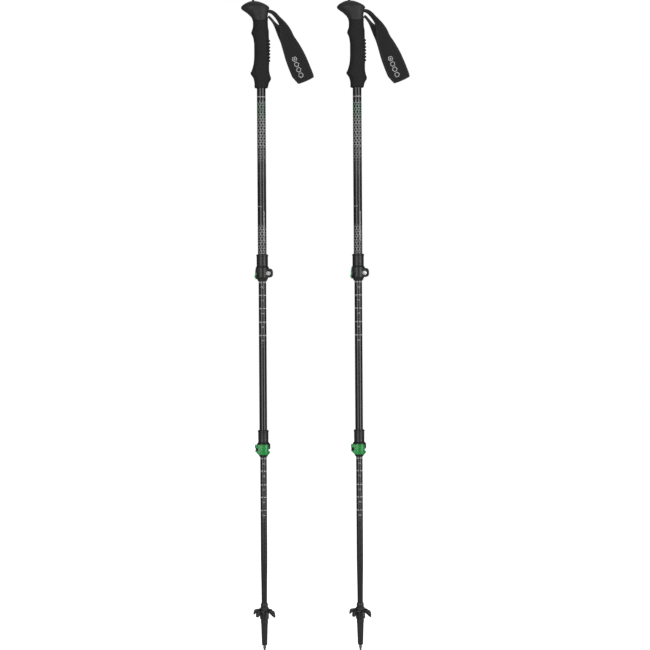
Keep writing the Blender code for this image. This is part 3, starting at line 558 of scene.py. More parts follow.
@dataclass(frozen=True)
class MouldedFinish:
    """Moulded plastic: a fine spark-eroded grain, faint flow marks and rubbed edges.

    Attributes:
        name: The material's name.
        base: Its colour.
        worn: The colour of its rubbed edges.
        rough: The roughness about which it varies.
        grain: The grain's size.
        relief: The grain's depth.
        coat: The weight of its glossy skin.
    """

    name: str
    base: Colour
    worn: Colour
    rough: float
    grain: float
    relief: float
    coat: float = 0.0

    def made(self) -> bpy.types.Material:
        """The material."""
        graph = Graph(self.name, Specular_IOR_Level=0.5, Coat_Weight=self.coat, Coat_Roughness=0.12)
        grain = graph.noise(1.0 / self.grain, 4.0)
        flow = graph.noise(90.0, 2.0, (1.0, 1.0, 0.25))
        bend = graph.node("ShaderNodeNewGeometry").outputs["Pointiness"]
        edge = graph.step(0.52, 0.60, Wire(graph, bend)) * graph.step(0.35, 0.6, flow)
        toned = graph.blend(0.6 * flow, self.base, tuple(min(1.0, 1.35 * c + 0.002) for c in self.base))
        graph.colour(graph.blend(0.7 * edge, toned, self.worn))
        graph.rough(self.rough + 0.14 * (grain - 0.5) + 0.10 * (flow - 0.5))
        graph.bump(grain, self.relief)
        return graph.material


@dataclass(frozen=True)
class MetalFinish:
    """Turned or ground metal: fine rings across its height and smears.

    Attributes:
        name: The material's name.
        base: Its colour.
        shade: The colour of the smears.
        rough: The roughness about which it varies.
        rings: The rings' pitch.
    """

    name: str
    base: Colour
    shade: Colour
    rough: float
    rings: float

    RELIEF = 0.00003

    def made(self) -> bpy.types.Material:
        """The material."""
        graph = Graph(self.name, Metallic=1.0)
        rings = graph.noise(1.0 / self.rings, 2.0, (0.12, 0.12, 1.0))
        smear = graph.noise(260.0, 3.0)
        graph.colour(graph.blend(graph.step(0.3, 0.7, smear) * 0.8, self.base, self.shade))
        graph.rough(self.rough + 0.18 * (rings - 0.5) + 0.16 * (smear - 0.5))
        graph.bump(rings, self.RELIEF)
        return graph.material


class Print(Enum):
    """What is printed on a tube."""

    NET = "net"
    SCALE = "scale"


@dataclass(frozen=True)
class TubeFinish:
    """Black anodised tube: glossy, drawn lengthwise, with its print.

    Attributes:
        name: The material's name.
        radius: The tube's radius, which sets where its front is on the map.
        print: What is printed.
        marks: The heights of the rings of a length scale, from the top down.
    """

    name: str
    radius: float
    print: Print
    marks: tuple[float, ...] = ()

    DEEP, BARE = (0.0045, 0.0045, 0.0048), (0.0100, 0.0098, 0.0102)
    RELIEF = 0.00002
    CELLS_ROUND = 9
    LINE = 0.00105
    PALE, GREEN = (0.52, 0.53, 0.52), (0.17, 0.46, 0.26)
    FULL_NET = (0.9270, 1.0125)
    FADED_NET = (0.9030, 0.9270)
    LOW_NET = (0.7080, 0.7840)
    THREADS = (0.870, 0.9270)
    RING = (1.0190, 1.0206)
    LOW_RING = (0.8183, 0.8197)
    TICKS = (0.7550, 0.8100)
    SCALE_INK = (0.5, 0.5, 0.49)
    SMALL_TICK_PITCH = 0.0050

    def made(self) -> bpy.types.Material:
        """The material."""
        graph = Graph(self.name, Specular_IOR_Level=0.5, Coat_Weight=0.25, Coat_Roughness=0.08)
        drawn = graph.noise(900.0, 2.0, (1.0, 1.0, 0.02))
        scuffs = graph.noise(160.0, 5.0, (1.0, 1.0, 0.35))
        way, up = graph.chart()
        ink, tint = self.netted(graph, way, up) if self.print is Print.NET else self.scaled(graph, way, up)
        black = graph.blend(0.5 * drawn, self.DEEP, self.BARE)
        ink = ink * (0.55 + 0.45 * graph.step(0.30, 0.55, scuffs))
        graph.colour(graph.blend(ink, black, tint))
        graph.rough(0.20 + 0.10 * (drawn - 0.5) + 0.10 * graph.step(0.55, 0.75, scuffs) + 0.20 * ink)
        graph.bump(drawn * 0.4 + ink * 0.6, self.RELIEF)
        return graph.material

    def netted(self, graph: Graph, way: Wire, up: Wire) -> tuple[Wire, bpy.types.NodeSocket]:
        """The upper tube's print: a ring, a net of hexagons that fades downwards, ticks and a lower net.

        Args:
            graph: The material's nodes.
            way: The way round the tube.
            up: The height.

        Returns:
            How much ink there is, and its colour.
        """
        pitch = 2 * math.pi * self.radius / self.CELLS_ROUND
        front = self.radius * math.pi
        net = graph.net(way, up, pitch, self.LINE)
        fade = 0.62 * graph.band(up, *self.FULL_NET, 0.0012) + 0.36 * graph.band(up, *self.FADED_NET, 0.0080)
        ring = graph.band(up, *self.RING, 0.0003)
        thread = graph.band(way % (pitch / 2), 0.0, 0.0004, 0.0002) * graph.band(up, *self.THREADS, 0.01)
        low_net = net * graph.band(up, *self.LOW_NET, 0.0040)
        beside = abs(way - (front + 0.55 * self.radius)) < 0.00080
        ticks = beside * graph.band(up, *self.TICKS, 0.0002) * ((up % 0.0026) < 0.0017)
        low_ring = graph.band(up, *self.LOW_RING, 0.0003) * (way < front)
        ink = graph.maths("MAXIMUM", net * fade, ring * 0.75)
        ink = graph.maths("MAXIMUM", ink, ticks)
        ink = graph.maths("MAXIMUM", ink, 0.50 * low_net + 0.25 * thread + 0.45 * low_ring)
        green = graph.step(0.9700, 0.9950, up) * (1 - graph.step(1.0050, 1.0120, up)) * net
        return ink, graph.blend(green * 0.75, self.PALE, self.GREEN)

    def scaled(self, graph: Graph, way: Wire, up: Wire) -> tuple[Wire, Colour]:
        """A length scale's rings, with short ticks between them and a line down the front; the rings stop short of
        the front line as a painted shade for the dark strip between the tube's two highlights.

        Args:
            graph: The material's nodes.
            way: The way round the tube.
            up: The height.

        Returns:
            How much ink there is, and its colour.
        """
        rings = sum(graph.band(up, mark - 0.0010, mark + 0.0010, 0.0002) for mark in self.marks)
        front = abs(way - self.radius * math.pi)
        scale = graph.band(up, self.marks[-1] - 0.02, self.marks[0] + 0.004, 0.001)
        line = (front < 0.0003) * scale
        small = (up - self.marks[-1]) % self.SMALL_TICK_PITCH < 0.0006
        small = small * graph.band(front, 0.0006, 0.0022, 0.0001)
        # Painted shade: the rings are left out 0.6 to 1 mm either side of the camera-facing front, to paint the dark
        # strip that runs down the tube between its two highlights.
        rings = 0.7 * rings * graph.step(0.0006, 0.0010, front)
        return rings + 0.10 * line + 0.25 * small * scale, self.SCALE_INK


@dataclass(frozen=True)
class WebbingFinish:
    """Woven webbing: ribs across, a twill along, a sewn hem, and a row of plain hexagons.

    Attributes:
        name: The material's name.
        dark: The weave's hollows.
        light: The weave's crowns.
        charted: Whether the piece has a map. If not, the weave follows the object's coordinates.
        figure_at: Where along the strap the row of hexagons starts, or nothing.
        figure_across: How far from the strap's middle it lies.
    """

    name: str
    dark: Colour
    light: Colour
    charted: bool
    figure_at: Optional[float] = None
    figure_across: float = 0.0

    DIAGONAL = 0.0016
    RIB = 0.0011
    STITCH = 0.0034
    RELIEF = 0.00022
    FIGURES = 4
    FIGURE_PITCH = 0.0104
    FIGURE_INK = (0.62, 0.62, 0.62)

    def made(self) -> bpy.types.Material:
        """The material."""
        graph = Graph(self.name, Specular_IOR_Level=0.25, Sheen_Weight=0.25, Sheen_Roughness=0.5)
        if self.charted:
            across, along = graph.chart()
        else:
            _, across, along = graph.parts(graph.place())
        warp = graph.maths("SINE", (across + along * 0.5) * (2 * math.pi / self.DIAGONAL))
        weft = graph.maths("SINE", along * (2 * math.pi / self.RIB))
        fuzz = graph.noise(2200.0, 3.0)
        weave = 0.5 + 0.22 * warp + 0.18 * weft + 0.5 * (fuzz - 0.5)
        cloth = graph.blend(graph.step(0.1, 0.9, weave), self.dark, self.light)
        relief = weave
        rough = 0.82 + 0.10 * (fuzz - 0.5)
        if self.charted:
            hem = Wire(graph, graph.node("ShaderNodeAttribute", {"attribute_name": "hem"}).outputs["Fac"])
            stitch = graph.band(hem, 0.0022, 0.0029, 0.0001) * ((along % self.STITCH) < 0.0024)
            binding = 1 - graph.step(0.0030, 0.0034, hem)
            cloth = graph.blend(0.35 * binding, cloth, self.light)
            cloth = graph.blend(0.8 * stitch, cloth, tuple(1.8 * c for c in self.light))
            relief = weave + 0.8 * stitch + 0.5 * binding
        if self.figure_at is not None:
            pitch = self.FIGURE_PITCH
            x = (along - self.figure_at) % pitch - pitch / 2
            away = graph.hexagon(x, across - self.figure_across)
            ring = graph.band(away, 0.0031, 0.0043, 0.00015)
            disc = (1 - graph.step(0.0014, 0.0017, away)) * ((along - self.figure_at) < pitch)
            shown = graph.band(along, self.figure_at, self.figure_at + self.FIGURES * pitch, 0.0001)
            figure = graph.maths("MAXIMUM", ring, disc) * shown * graph.step(0.15, 0.45, weave)
            cloth = graph.blend(0.9 * figure, cloth, self.FIGURE_INK)
            rough = rough - 0.25 * figure
        graph.colour(cloth)
        graph.rough(rough)
        graph.bump(relief, self.RELIEF)
        return graph.material


@dataclass(frozen=True)
class InkFinish:
    """Pale ink, a little worn.

    Attributes:
        name: The material's name.
        colour: Its colour.
    """

    name: str
    colour: Colour

    def made(self) -> bpy.types.Material:
        """The material."""
        graph = Graph(self.name, Roughness=0.5)
        worn = graph.noise(700.0, 3.0)
        graph.colour(graph.blend(graph.step(0.55, 0.75, worn), self.colour, tuple(0.4 * c for c in self.colour)))
        return graph.material


FOAM = FoamFinish("foam", (0.0060, 0.0060, 0.0062), (0.0170, 0.0170, 0.0174), 0.0008, 0.00012, 0.86)
HEAD = FoamFinish("head_rubber", (0.0130, 0.0130, 0.0134), (0.0280, 0.0280, 0.0286), 0.0005, 0.00005, 0.55)
COLLAR = MouldedFinish("lock_plastic", (0.0100, 0.0103, 0.0105), (0.060, 0.060, 0.060), 0.36, 0.0005, 0.00003)
LEVER = MouldedFinish("lever_plastic", (0.0012, 0.245, 0.036), (0.040, 0.420, 0.140), 0.30, 0.0006, 0.00002, 0.15)
NYLON = MouldedFinish("foot_plastic", (0.0130, 0.0130, 0.0132), (0.070, 0.070, 0.070), 0.42, 0.0005, 0.00004)
ACETAL = MouldedFinish("slide_plastic", (0.0200, 0.0200, 0.0200), (0.060, 0.060, 0.060), 0.40, 0.0005, 0.00002)
STEEL = MetalFinish("steel", (0.62, 0.62, 0.62), (0.42, 0.42, 0.42), 0.24, 0.00012)
BLACK_STEEL = MetalFinish("black_steel", (0.050, 0.050, 0.052), (0.025, 0.025, 0.026), 0.42, 0.00012)
NUT_STEEL = MetalFinish("nut_steel", (0.92, 0.92, 0.92), (0.72, 0.72, 0.72), 0.30, 0.00015)
FERRULE = MetalFinish("ferrule_steel", (0.20, 0.195, 0.175), (0.13, 0.125, 0.11), 0.38, 0.00015)
CARBIDE = MetalFinish("carbide", (0.22, 0.215, 0.19), (0.12, 0.115, 0.10), 0.42, 0.00010)
ANCHOR_WEBBING = WebbingFinish("anchor_webbing", (0.006, 0.006, 0.0065), (0.018, 0.018, 0.019), False)
INK = InkFinish("scale_ink", (0.50, 0.50, 0.49))


class Wardrobe:
    """Makes each finish's material once and hands it out."""

    def __init__(self) -> None:
        """Starts with none made."""
        self.made: dict[Finish, bpy.types.Material] = {}

    def of(self, finish: Finish) -> bpy.types.Material:
        """The finish's material."""
        if finish not in self.made:
            self.made[finish] = finish.made()
        return self.made[finish]


WARDROBE = Wardrobe()


def show(
    name: str,
    grids: Union[Sequence[Grid], bpy.types.Mesh],
    finish: Finish,
    body: str,
    nodes: Sequence[str] = (),
) -> bpy.types.Object:
    """Makes a piece, dresses it and sets it on its body.

    Args:
        name: The piece's name.
        grids: Its surfaces, or its mesh.
        finish: Its finish.
        body: The body that it moves with.
        nodes: The model's nodes that it stands for.

    Returns:
        The piece.
    """
    mesh = grids if isinstance(grids, bpy.types.Mesh) else mesh_from(name, grids)
    piece = bpy.data.objects.new(name, mesh)
    bpy.context.scene.collection.objects.link(piece)
    mesh.materials.append(WARDROBE.of(finish))
    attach(piece, body)
    if nodes:
        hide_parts(*nodes)
    log.info("%s: %d faces on %s", name, len(mesh.polygons), body)
    return piece


def dress(node: str, finish: Finish) -> None:
    """Gives a node of the model a finish."""
    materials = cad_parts[node].data.materials
    materials.clear()
    materials.append(WARDROBE.of(finish))
    log.info("%s: kept, in %s", node, finish.name)


# ---------------------------------------------------------------- the poles


FIT = 0.0003
LOWER_LOCK_Z = 0.374
UPPER_LOCK_Z = LOWER_LOCK_Z + 0.3223
SEAT_HEIGHT = 0.0120
HEAD_Z = UPPER_LOCK_Z + SEAT_HEIGHT + 0.4517


@dataclass(frozen=True)
class Tubes:
    """The three tubes of one pole.

    Attributes:
        side: The pole.
        x: Where its axis stands.
        wall: The tubes' wall.
        upper_r: The upper tube's radius.
        middle_r: The middle tube's radius.
        lower_r: The lower tube's radius.
        foot_r: The lower tube's radius at its foot.
    """

    side: str
    x: float
    wall: float = 0.0006
    upper_r: float = 0.0080
    middle_r: float = 0.0070
    lower_r: float = 0.0060
    foot_r: float = 0.0051

    MIDDLE_MARKS = (0.6800, 0.6560, 0.6320, 0.6070, 0.5826)
    LOWER_MARKS = (0.3570, 0.3340, 0.3090, 0.2860, 0.2620)
    LENGTHS = ("120", "115", "110", "105", "100")

    def build(self) -> None:
        """The tubes, and the numbers of their scales."""
        net = TubeFinish("upper_tube_black", self.upper_r, Print.NET)
        self.plain("upper_tube", self.upper_r, UPPER_LOCK_Z + SEAT_HEIGHT, HEAD_Z - FIT, net, f"{self.side}_pole")
        scale = TubeFinish("middle_tube_black", self.middle_r, Print.SCALE, self.MIDDLE_MARKS)
        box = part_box(f"{self.side}_middle_tube")
        self.plain("middle_tube", self.middle_r, box[0].z, box[1].z, scale, f"{self.side}_middle_section")
        self.drawn(TubeFinish("lower_tube_black", self.lower_r, Print.SCALE, self.LOWER_MARKS))
        for marks, radius, body in (
            (self.MIDDLE_MARKS, self.middle_r, f"{self.side}_middle_section"),
            (self.LOWER_MARKS, self.lower_r, f"{self.side}_lower_section"),
        ):
            part = body.removeprefix(f"{self.side}_").removesuffix("_section")
            for text, mark in zip(self.LENGTHS, marks):
                mesh = self.numeral(text, radius, mark - 0.0105)
                show(f"{self.side}_{part}_number_{text}", mesh, INK, body)

    def plain(self, name: str, radius: float, low: float, high: float, finish: TubeFinish, body: str) -> None:
        """A straight tube with its two rims eased.

        Args:
            name: The piece's name.
            radius: The tube's outer radius.
            low: Its lower end.
            high: Its upper end.
            finish: Its finish.
            body: The body that it rides.
        """
        corners = ((radius, high), (radius, low), (radius - self.wall, low), (radius - self.wall, high))
        outline = rounded(corners, 0.00025, steps=3)
        rows = np.linspace(low + 0.0003, high - 0.0003, 24)
        split = int(np.argmax(outline[:, 1] < (low + high) / 2))
        outline = np.vstack([
            outline[:split],
            np.stack([np.full(24, radius), rows[::-1]], axis=-1),
            outline[split:],
        ])
        grid = turned(outline, (self.x, 0.0))
        show(f"{self.side}_{name}_skin", [grid], finish, body, [f"{self.side}_{name}"])

    def drawn(self, finish: TubeFinish) -> None:
        """The lower tube, whose radius eases down to its foot's between two heights."""
        low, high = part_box(f"{self.side}_lower_tube")
        z = np.concatenate([np.linspace(low.z, low.z + 0.150, 40), np.linspace(low.z + 0.160, high.z, 24)])
        radius = self.foot_r + (self.lower_r - self.foot_r) * eased(low.z + 0.050, low.z + 0.135, z)
        outer = np.stack([radius, z], axis=-1)[::-1]
        inner = np.stack([radius - self.wall, z], axis=-1)
        grid = turned(np.vstack([outer, inner]), (self.x, 0.0))
        body = f"{self.side}_lower_section"
        show(f"{self.side}_lower_tube_skin", [grid], finish, body, [f"{self.side}_lower_tube"])

    def numeral(self, text: str, radius: float, height: float) -> bpy.types.Mesh:
        """A number of the length scale, wrapped on the front of a tube.

        A flat point (a, b) goes to the angle a / r round the tube and the height b.

        Args:
            text: The number.
            radius: The tube's radius.
            height: Where the number's foot stands.

        Returns:
            Its mesh.
        """
        curve = bpy.data.curves.new(text, "FONT")
        curve.body = text
        curve.size = 0.0042
        curve.align_x = "CENTER"
        curve.resolution_u = 3
        flat = bpy.data.objects.new(text, curve)
        mesh = bpy.data.meshes.new_from_object(flat)
        bpy.data.objects.remove(flat)
        shape = bmesh.new()
        shape.from_mesh(mesh)
        bmesh.ops.triangulate(shape, faces=shape.faces)
        bmesh.ops.subdivide_edges(shape, edges=shape.edges, cuts=1)
        bmesh.ops.solidify(shape, geom=shape.faces, thickness=0.00005)
        shape.to_mesh(mesh)
        shape.free()
        points = np.empty(len(mesh.vertices) * 3, np.float32)
        mesh.vertices.foreach_get("co", points)
        a, b, lift = points.reshape(-1, 3).T
        angle = 1.5 * math.pi + a / radius
        r = radius + 0.00012 + lift
        wrapped = np.stack([self.x + r * np.cos(angle), r * np.sin(angle), height + b], axis=-1)
        mesh.vertices.foreach_set("co", wrapped.astype(np.float32).ravel())
        mesh.update()
        return mesh


@dataclass(frozen=True)
class Grip:
    """The foam sleeve, the head on top of it, and what is set in the head.

    Attributes:
        side: The pole.
        x: Where its axis stands.
        seam: The seam's lowest height above the head's lower end.
        seam_bend: How fast the seam rises to the front and the rear.
    """

    side: str
    x: float
    seam: float = -0.0017
    seam_bend: float = 21.5

    # Height above the head's lower end, front and rear edge from the axis, half width, nose's narrowing
    OUTLINE = np.array([
        (-0.1238, -0.0118, 0.0120, 0.0128, 0.0),
        (-0.1213, -0.0123, 0.0125, 0.0133, 0.0),
        (-0.1143, -0.0123, 0.0142, 0.0136, 0.0),
        (-0.1106, -0.0130, 0.0162, 0.0138, 0.0),
        (-0.1070, -0.0138, 0.0182, 0.0140, 0.0),
        (-0.1033, -0.0154, 0.0178, 0.0140, 0.0),
        (-0.0997, -0.0180, 0.0164, 0.0140, 0.0),
        (-0.0960, -0.0196, 0.0157, 0.0140, 0.0),
        (-0.0923, -0.0176, 0.0149, 0.0139, 0.0),
        (-0.0850, -0.0152, 0.0148, 0.0137, 0.0),
        (-0.0768, -0.0134, 0.0151, 0.0134, 0.0),
        (-0.0638, -0.0125, 0.0153, 0.0132, 0.0),
        (-0.0448, -0.0125, 0.0153, 0.0133, 0.0),
        (-0.0373, -0.0131, 0.0150, 0.0135, 0.0),
        (-0.0300, -0.0146, 0.0148, 0.0137, 0.0),
        (-0.0263, -0.0161, 0.0147, 0.0138, 0.0),
        (-0.0226, -0.0177, 0.0147, 0.0139, 0.0),
        (-0.0189, -0.0168, 0.0146, 0.0139, 0.0),
        (-0.0116, -0.0146, 0.0134, 0.0138, 0.0),
        (-0.0043, -0.0144, 0.0130, 0.0139, 0.0),
        (0.0000, -0.0150, 0.0130, 0.0140, 0.02),
        (0.0065, -0.0176, 0.0134, 0.0148, 0.08),
        (0.0106, -0.0214, 0.0139, 0.0157, 0.16),
        (0.0144, -0.0256, 0.0146, 0.0165, 0.24),
        (0.0181, -0.0309, 0.0152, 0.0171, 0.32),
        (0.0215, -0.0352, 0.0156, 0.0173, 0.38),
        (0.0240, -0.0362, 0.0156, 0.0172, 0.40),
        (0.0268, -0.0350, 0.0136, 0.0163, 0.38),
        (0.0300, -0.0315, 0.0088, 0.0140, 0.32),
        (0.0332, -0.0260, 0.0020, 0.0104, 0.22),
        (0.0353, -0.0205, -0.0045, 0.0065, 0.10),
        (0.0362, -0.0165, -0.0090, 0.0032, 0.0),
    ])
    RIBS = (-0.0766, -0.0340)
    RIB_COUNT = 7
    RIB_DEPTH = 0.0032

    def build(self) -> None:
        """The grip's pieces."""
        body = f"{self.side}_pole"
        show(f"{self.side}_foam_sleeve", [self.foam()], FOAM, body, [f"{self.side}_grip_foam"])
        show(f"{self.side}_head_moulding", [self.head()], HEAD, body, [f"{self.side}_grip_head"])
        self.wedge()
        dress(f"{self.side}_strap_pin", STEEL)
        dress(f"{self.side}_strap_anchor", ANCHOR_WEBBING)

    def skin(self, height: Array, angle: Array, size: Array) -> Array:
        """The grip's outer surface.

        A level section is an oval: x = middle + half length |cos a|^0.9 and y = half width |sin a|^0.9,
        with the signs of the cosine and the sine. The half width shrinks towards the nose by a share
        of the square of the cosine, and the rear quarter carries the ribs.

        Args:
            height: Heights above the head's lower end.
            angle: Angles round the pole, 0 at the rear.
            size: How large the section is, 1 for the full size.

        Returns:
            The points, with the same rows and columns as the arrays.
        """
        front, rear, half, nose = np.moveaxis(along_table(self.OUTLINE, height), -1, 0)
        along, across = np.cos(angle), np.sin(angle)
        x = (front + rear) / 2 + (rear - front) / 2 * size * np.sign(along) * np.abs(along) ** 0.9
        narrowed = 1 - nose * np.maximum(0.0, -along) ** 2
        y = half * size * np.sign(across) * np.abs(across) ** 0.9 * narrowed
        low, high = self.RIBS
        phase = (height - low - 0.10 * np.abs(y)) / (high - low) * self.RIB_COUNT
        ridge = (0.5 - 0.5 * np.cos(2 * math.pi * phase)) ** 0.6
        ribbed = eased(low - 0.001, low + 0.002, height) * (1 - eased(high - 0.002, high + 0.001, height))
        x = x + self.RIB_DEPTH * ribbed * eased(0.40, 0.75, along) * (ridge - 0.35)
        return np.stack([self.x + x, y, HEAD_Z + np.broadcast_to(height, x.shape)], axis=-1)

    def border(self, angle: Array) -> Array:
        """The seam between foam and head: a parabola seen from the side, seam + bend x^2."""
        at_rest = self.skin(np.zeros_like(angle), angle, np.ones_like(angle))
        return self.seam + self.seam_bend * (at_rest[..., 0] - self.x + 0.001) ** 2

    def foam(self) -> Grid:
        """The foam sleeve, from its bore round the lower rim and up to the seam."""
        angle = np.linspace(0, 2 * math.pi, 144, endpoint=False)[None]
        share = np.concatenate([np.linspace(0, 0.02, 5)[1:], np.linspace(0.03, 0.985, 190)])[:, None]
        bottom = self.OUTLINE[0, 0]
        top = self.border(angle)
        height = bottom + 0.0002 + share * (top - 0.0004 - bottom)
        size = 1 - 0.05 * (1 - eased(0.0, 0.012, share)) * np.ones_like(height)
        side = self.skin(height, angle + 0 * height, size)
        rim = [self.skin(top - d, angle, np.full_like(angle, s)) for d, s in
               ((0.0006, 0.999), (0.0003, 0.985), (0.0002, 0.955), (0.0002, 0.70))]
        bore = 0.0081
        x, y = self.x + bore * np.cos(angle), bore * np.sin(angle)
        inner = [np.stack([x, y, HEAD_Z + end + 0 * angle], axis=-1) for end in (top - 0.0002, bottom)]
        return Grid(np.concatenate([*inner, side, *rim]), ring_rows=True, ring_columns=True)

    def head(self) -> Grid:
        """The head, from under its rim over the seam and up to its crown, with the strap's mouth."""
        angle = np.linspace(0, 2 * math.pi, 192, endpoint=False)[None]
        top = self.OUTLINE[-1, 0]
        border = self.border(angle)
        rim = [self.skin(border + d, angle, np.full_like(angle, s)) for d, s in
               ((0.0001, 0.70), (0.0001, 0.960), (0.0003, 0.990), (0.0006, 1.0))]
        share = np.linspace(0.02, 1.0, 150)[:, None] ** 0.9
        height = border + 0.0006 + share * (top - border - 0.0006)
        side = self.skin(height, angle + 0 * height, np.ones_like(height))
        crown = [self.skin(np.full_like(angle, top), angle, np.full_like(angle, s)) + (0, 0, lift)
                 for s, lift in ((0.55, 0.00012), (0.02, 0.00016))]
        points = np.concatenate([*rim, side, *crown])
        x, y, z = np.moveaxis(points, -1, 0)
        up = z - HEAD_Z
        mouth = (1 - eased(0.0062, 0.0071, np.abs(y))) * eased(0.0055, 0.0066, up) * (1 - eased(0.0214, 0.0224, up))
        mouth = mouth * (x - self.x > 0.004)
        x = x - 0.0050 * mouth
        lip = (1 - eased(0.0068, 0.0088, np.abs(y))) * eased(0.0035, 0.0055, up) * (1 - eased(0.0220, 0.0245, up))
        x = x + 0.0003 * lip * (1 - mouth) * (x - self.x > 0.006)
        dimple = np.exp(-((x - self.x + 0.0125) ** 2 + (up - 0.0186) ** 2) / 0.0013**2)
        y = y - np.sign(y) * 0.0005 * dimple
        return Grid(np.stack([x, y, z], axis=-1), ring_columns=True, capped=True)

    def wedge(self) -> None:
        """The strap's wedge: a stem with a domed end that shows on the crown, and a foot below."""
        low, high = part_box(f"{self.side}_strap_lock")
        stem_x, stem_r = self.x - 0.0139, 0.0022
        profile = ((0.0, low.z + 0.002), (stem_r, low.z + 0.002), (stem_r, high.z), (0.0, high.z))
        outline = rounded(profile, 0.0011, False)
        stem = turned(outline, (stem_x, 0.0), sides=48, ring=False)
        corners = ((low.x, low.z), (high.x, low.z), (high.x, low.z + 0.0055), (low.x, low.z + 0.0055))
        flat = rounded(corners, 0.0008)
        foot = slab(steady(flat), low.y, high.y, 0.0005)
        nodes = [f"{self.side}_strap_lock"]
        show(f"{self.side}_strap_wedge_plug", [stem, foot], HEAD, f"{self.side}_strap_wedge", nodes)


@dataclass(frozen=True)
class Strap:
    """The wrist strap: one band that leaves the head, widens, folds at its foot and comes back.

    Attributes:
        side: The pole.
        x: Where its axis stands.
        width: The band's width where it is narrow.
        thick: The band's thickness.
        bow: How far the band's edges bend back from its middle.
    """

    side: str
    x: float
    width: float = 0.0125
    thick: float = 0.0017
    bow: float = 0.0007

    # How far out and up, how far to the front, the width in narrow widths, and the twist in degrees
    ROUTE = np.array([
        (0.0139, 0.0180, 0.0000, 1.00, 14),
        (0.0205, 0.0157, 0.0003, 1.00, 24),
        (0.0264, 0.0108, 0.0012, 1.00, 32),
        (0.0325, 0.0034, 0.0024, 1.00, 38),
        (0.0378, -0.0040, 0.0036, 1.05, 56),
        (0.0418, -0.0112, 0.0045, 1.30, 74),
        (0.0455, -0.0215, 0.0050, 1.75, 90),
        (0.0494, -0.0360, 0.0052, 2.20, 90),
        (0.0556, -0.0500, 0.0052, 2.60, 90),
        (0.0615, -0.0640, 0.0052, 2.90, 90),
        (0.0672, -0.0780, 0.0050, 3.02, 90),
        (0.0728, -0.0920, 0.0046, 3.04, 90),
        (0.0776, -0.1035, 0.0036, 3.00, 90),
        (0.0800, -0.1093, 0.0021, 2.94, 90),
        (0.0806, -0.1108, 0.0000, 2.92, 90),
        (0.0800, -0.1093, -0.0021, 2.94, 90),
        (0.0776, -0.1035, -0.0036, 3.00, 90),
        (0.0728, -0.0920, -0.0046, 3.04, 90),
        (0.0672, -0.0780, -0.0050, 3.02, 90),
        (0.0615, -0.0640, -0.0052, 2.90, 90),
        (0.0556, -0.0500, -0.0052, 2.60, 90),
        (0.0488, -0.0360, -0.0052, 2.20, 90),
        (0.0405, -0.0235, -0.0050, 1.70, 88),
        (0.0320, -0.0135, -0.0044, 1.20, 50),
        (0.0264, -0.0062, -0.0032, 1.00, 26),
        (0.0222, -0.0006, -0.0018, 1.00, 16),
        (0.0182, 0.0040, -0.0006, 1.00, 13),
        (0.0139, 0.0084, 0.0000, 1.00, 12),
    ])

    def route(self, steps: int = 9) -> Array:
        """The route's rows, with steps stretches between two rows, on a Catmull-Rom curve."""
        rows = np.vstack([self.ROUTE[:1], self.ROUTE, self.ROUTE[-1:]])
        p, q, r, s = (rows[i:len(rows) - 3 + i, None, :] for i in range(4))
        t = (np.arange(steps) / steps)[None, :, None]
        curve = 0.5 * (2 * q + (r - p) * t + (2 * p - 5 * q + 4 * r - s) * t**2 + (3 * q - p - 3 * r + s) * t**3)
        return np.vstack([curve.reshape(-1, 5), self.ROUTE[-1:]])

    def build(self) -> None:
        """The band, in woven webbing, with its hem marked."""
        rows = self.route()
        middle = np.stack([self.x + rows[:, 0], -rows[:, 2], HEAD_Z + rows[:, 1]], axis=-1)
        along = np.gradient(middle, axis=0)
        along /= np.linalg.norm(along, axis=1, keepdims=True)
        level = along * (1.0, 0.0, 1.0)
        level = np.where(level[:, 2:] > 0, -level, level)
        size = np.linalg.norm(level, axis=1, keepdims=True)
        level = level + (1 - eased(0.5, 0.9, size)) * np.array([0.40, 0.0, -0.92])
        level /= np.linalg.norm(level, axis=1, keepdims=True)
        twist = np.radians(rows[:, 4:5])
        in_plane = np.stack([level[:, 2], 0 * level[:, 0], -level[:, 0]], axis=-1)
        across = np.array([0.0, 1.0, 0.0]) * np.cos(twist) + in_plane * np.sin(twist)
        across -= along * (across * along).sum(axis=1, keepdims=True)
        across /= np.linalg.norm(across, axis=1, keepdims=True)
        normal = np.cross(along, across)
        length = np.concatenate([[0.0], np.cumsum(np.linalg.norm(np.diff(middle, axis=0), axis=1))])
        fold = length[len(length) // 2]
        full = self.width * rows[:, 3] / 2
        from_fold = np.abs(length - fold)
        half = np.stack([
            full - self.corner(from_fold, 0.0050),
            full - self.corner(from_fold, 0.0030) - 0.0052 * np.clip(1 - from_fold / 0.019, 0.0, 1.0),
        ], axis=-1)
        points, chart, hem = self.band(middle, across, normal, half, length)
        finish = WebbingFinish(
            "webbing", (0.0060, 0.0060, 0.0064), (0.0200, 0.0200, 0.0208), True, round(fold - 0.0490, 4), 0.0030
        )
        grid = Grid(points, ring_columns=True, capped=True, chart=chart)
        mesh = mesh_from(f"{self.side}_strap_band", [grid])
        self.mark_hem(mesh, hem)
        piece = show(
            f"{self.side}_strap_band", mesh, finish, f"{self.side}_strap", [f"{self.side}_strap_loop"]
        )

    def corner(self, away: Array, radius: float) -> Array:
        """How far a corner of this radius draws an edge in, at each distance from the band's foot."""
        short = np.clip(radius - away, 0.0, radius)
        return radius - np.sqrt(radius**2 - short**2)

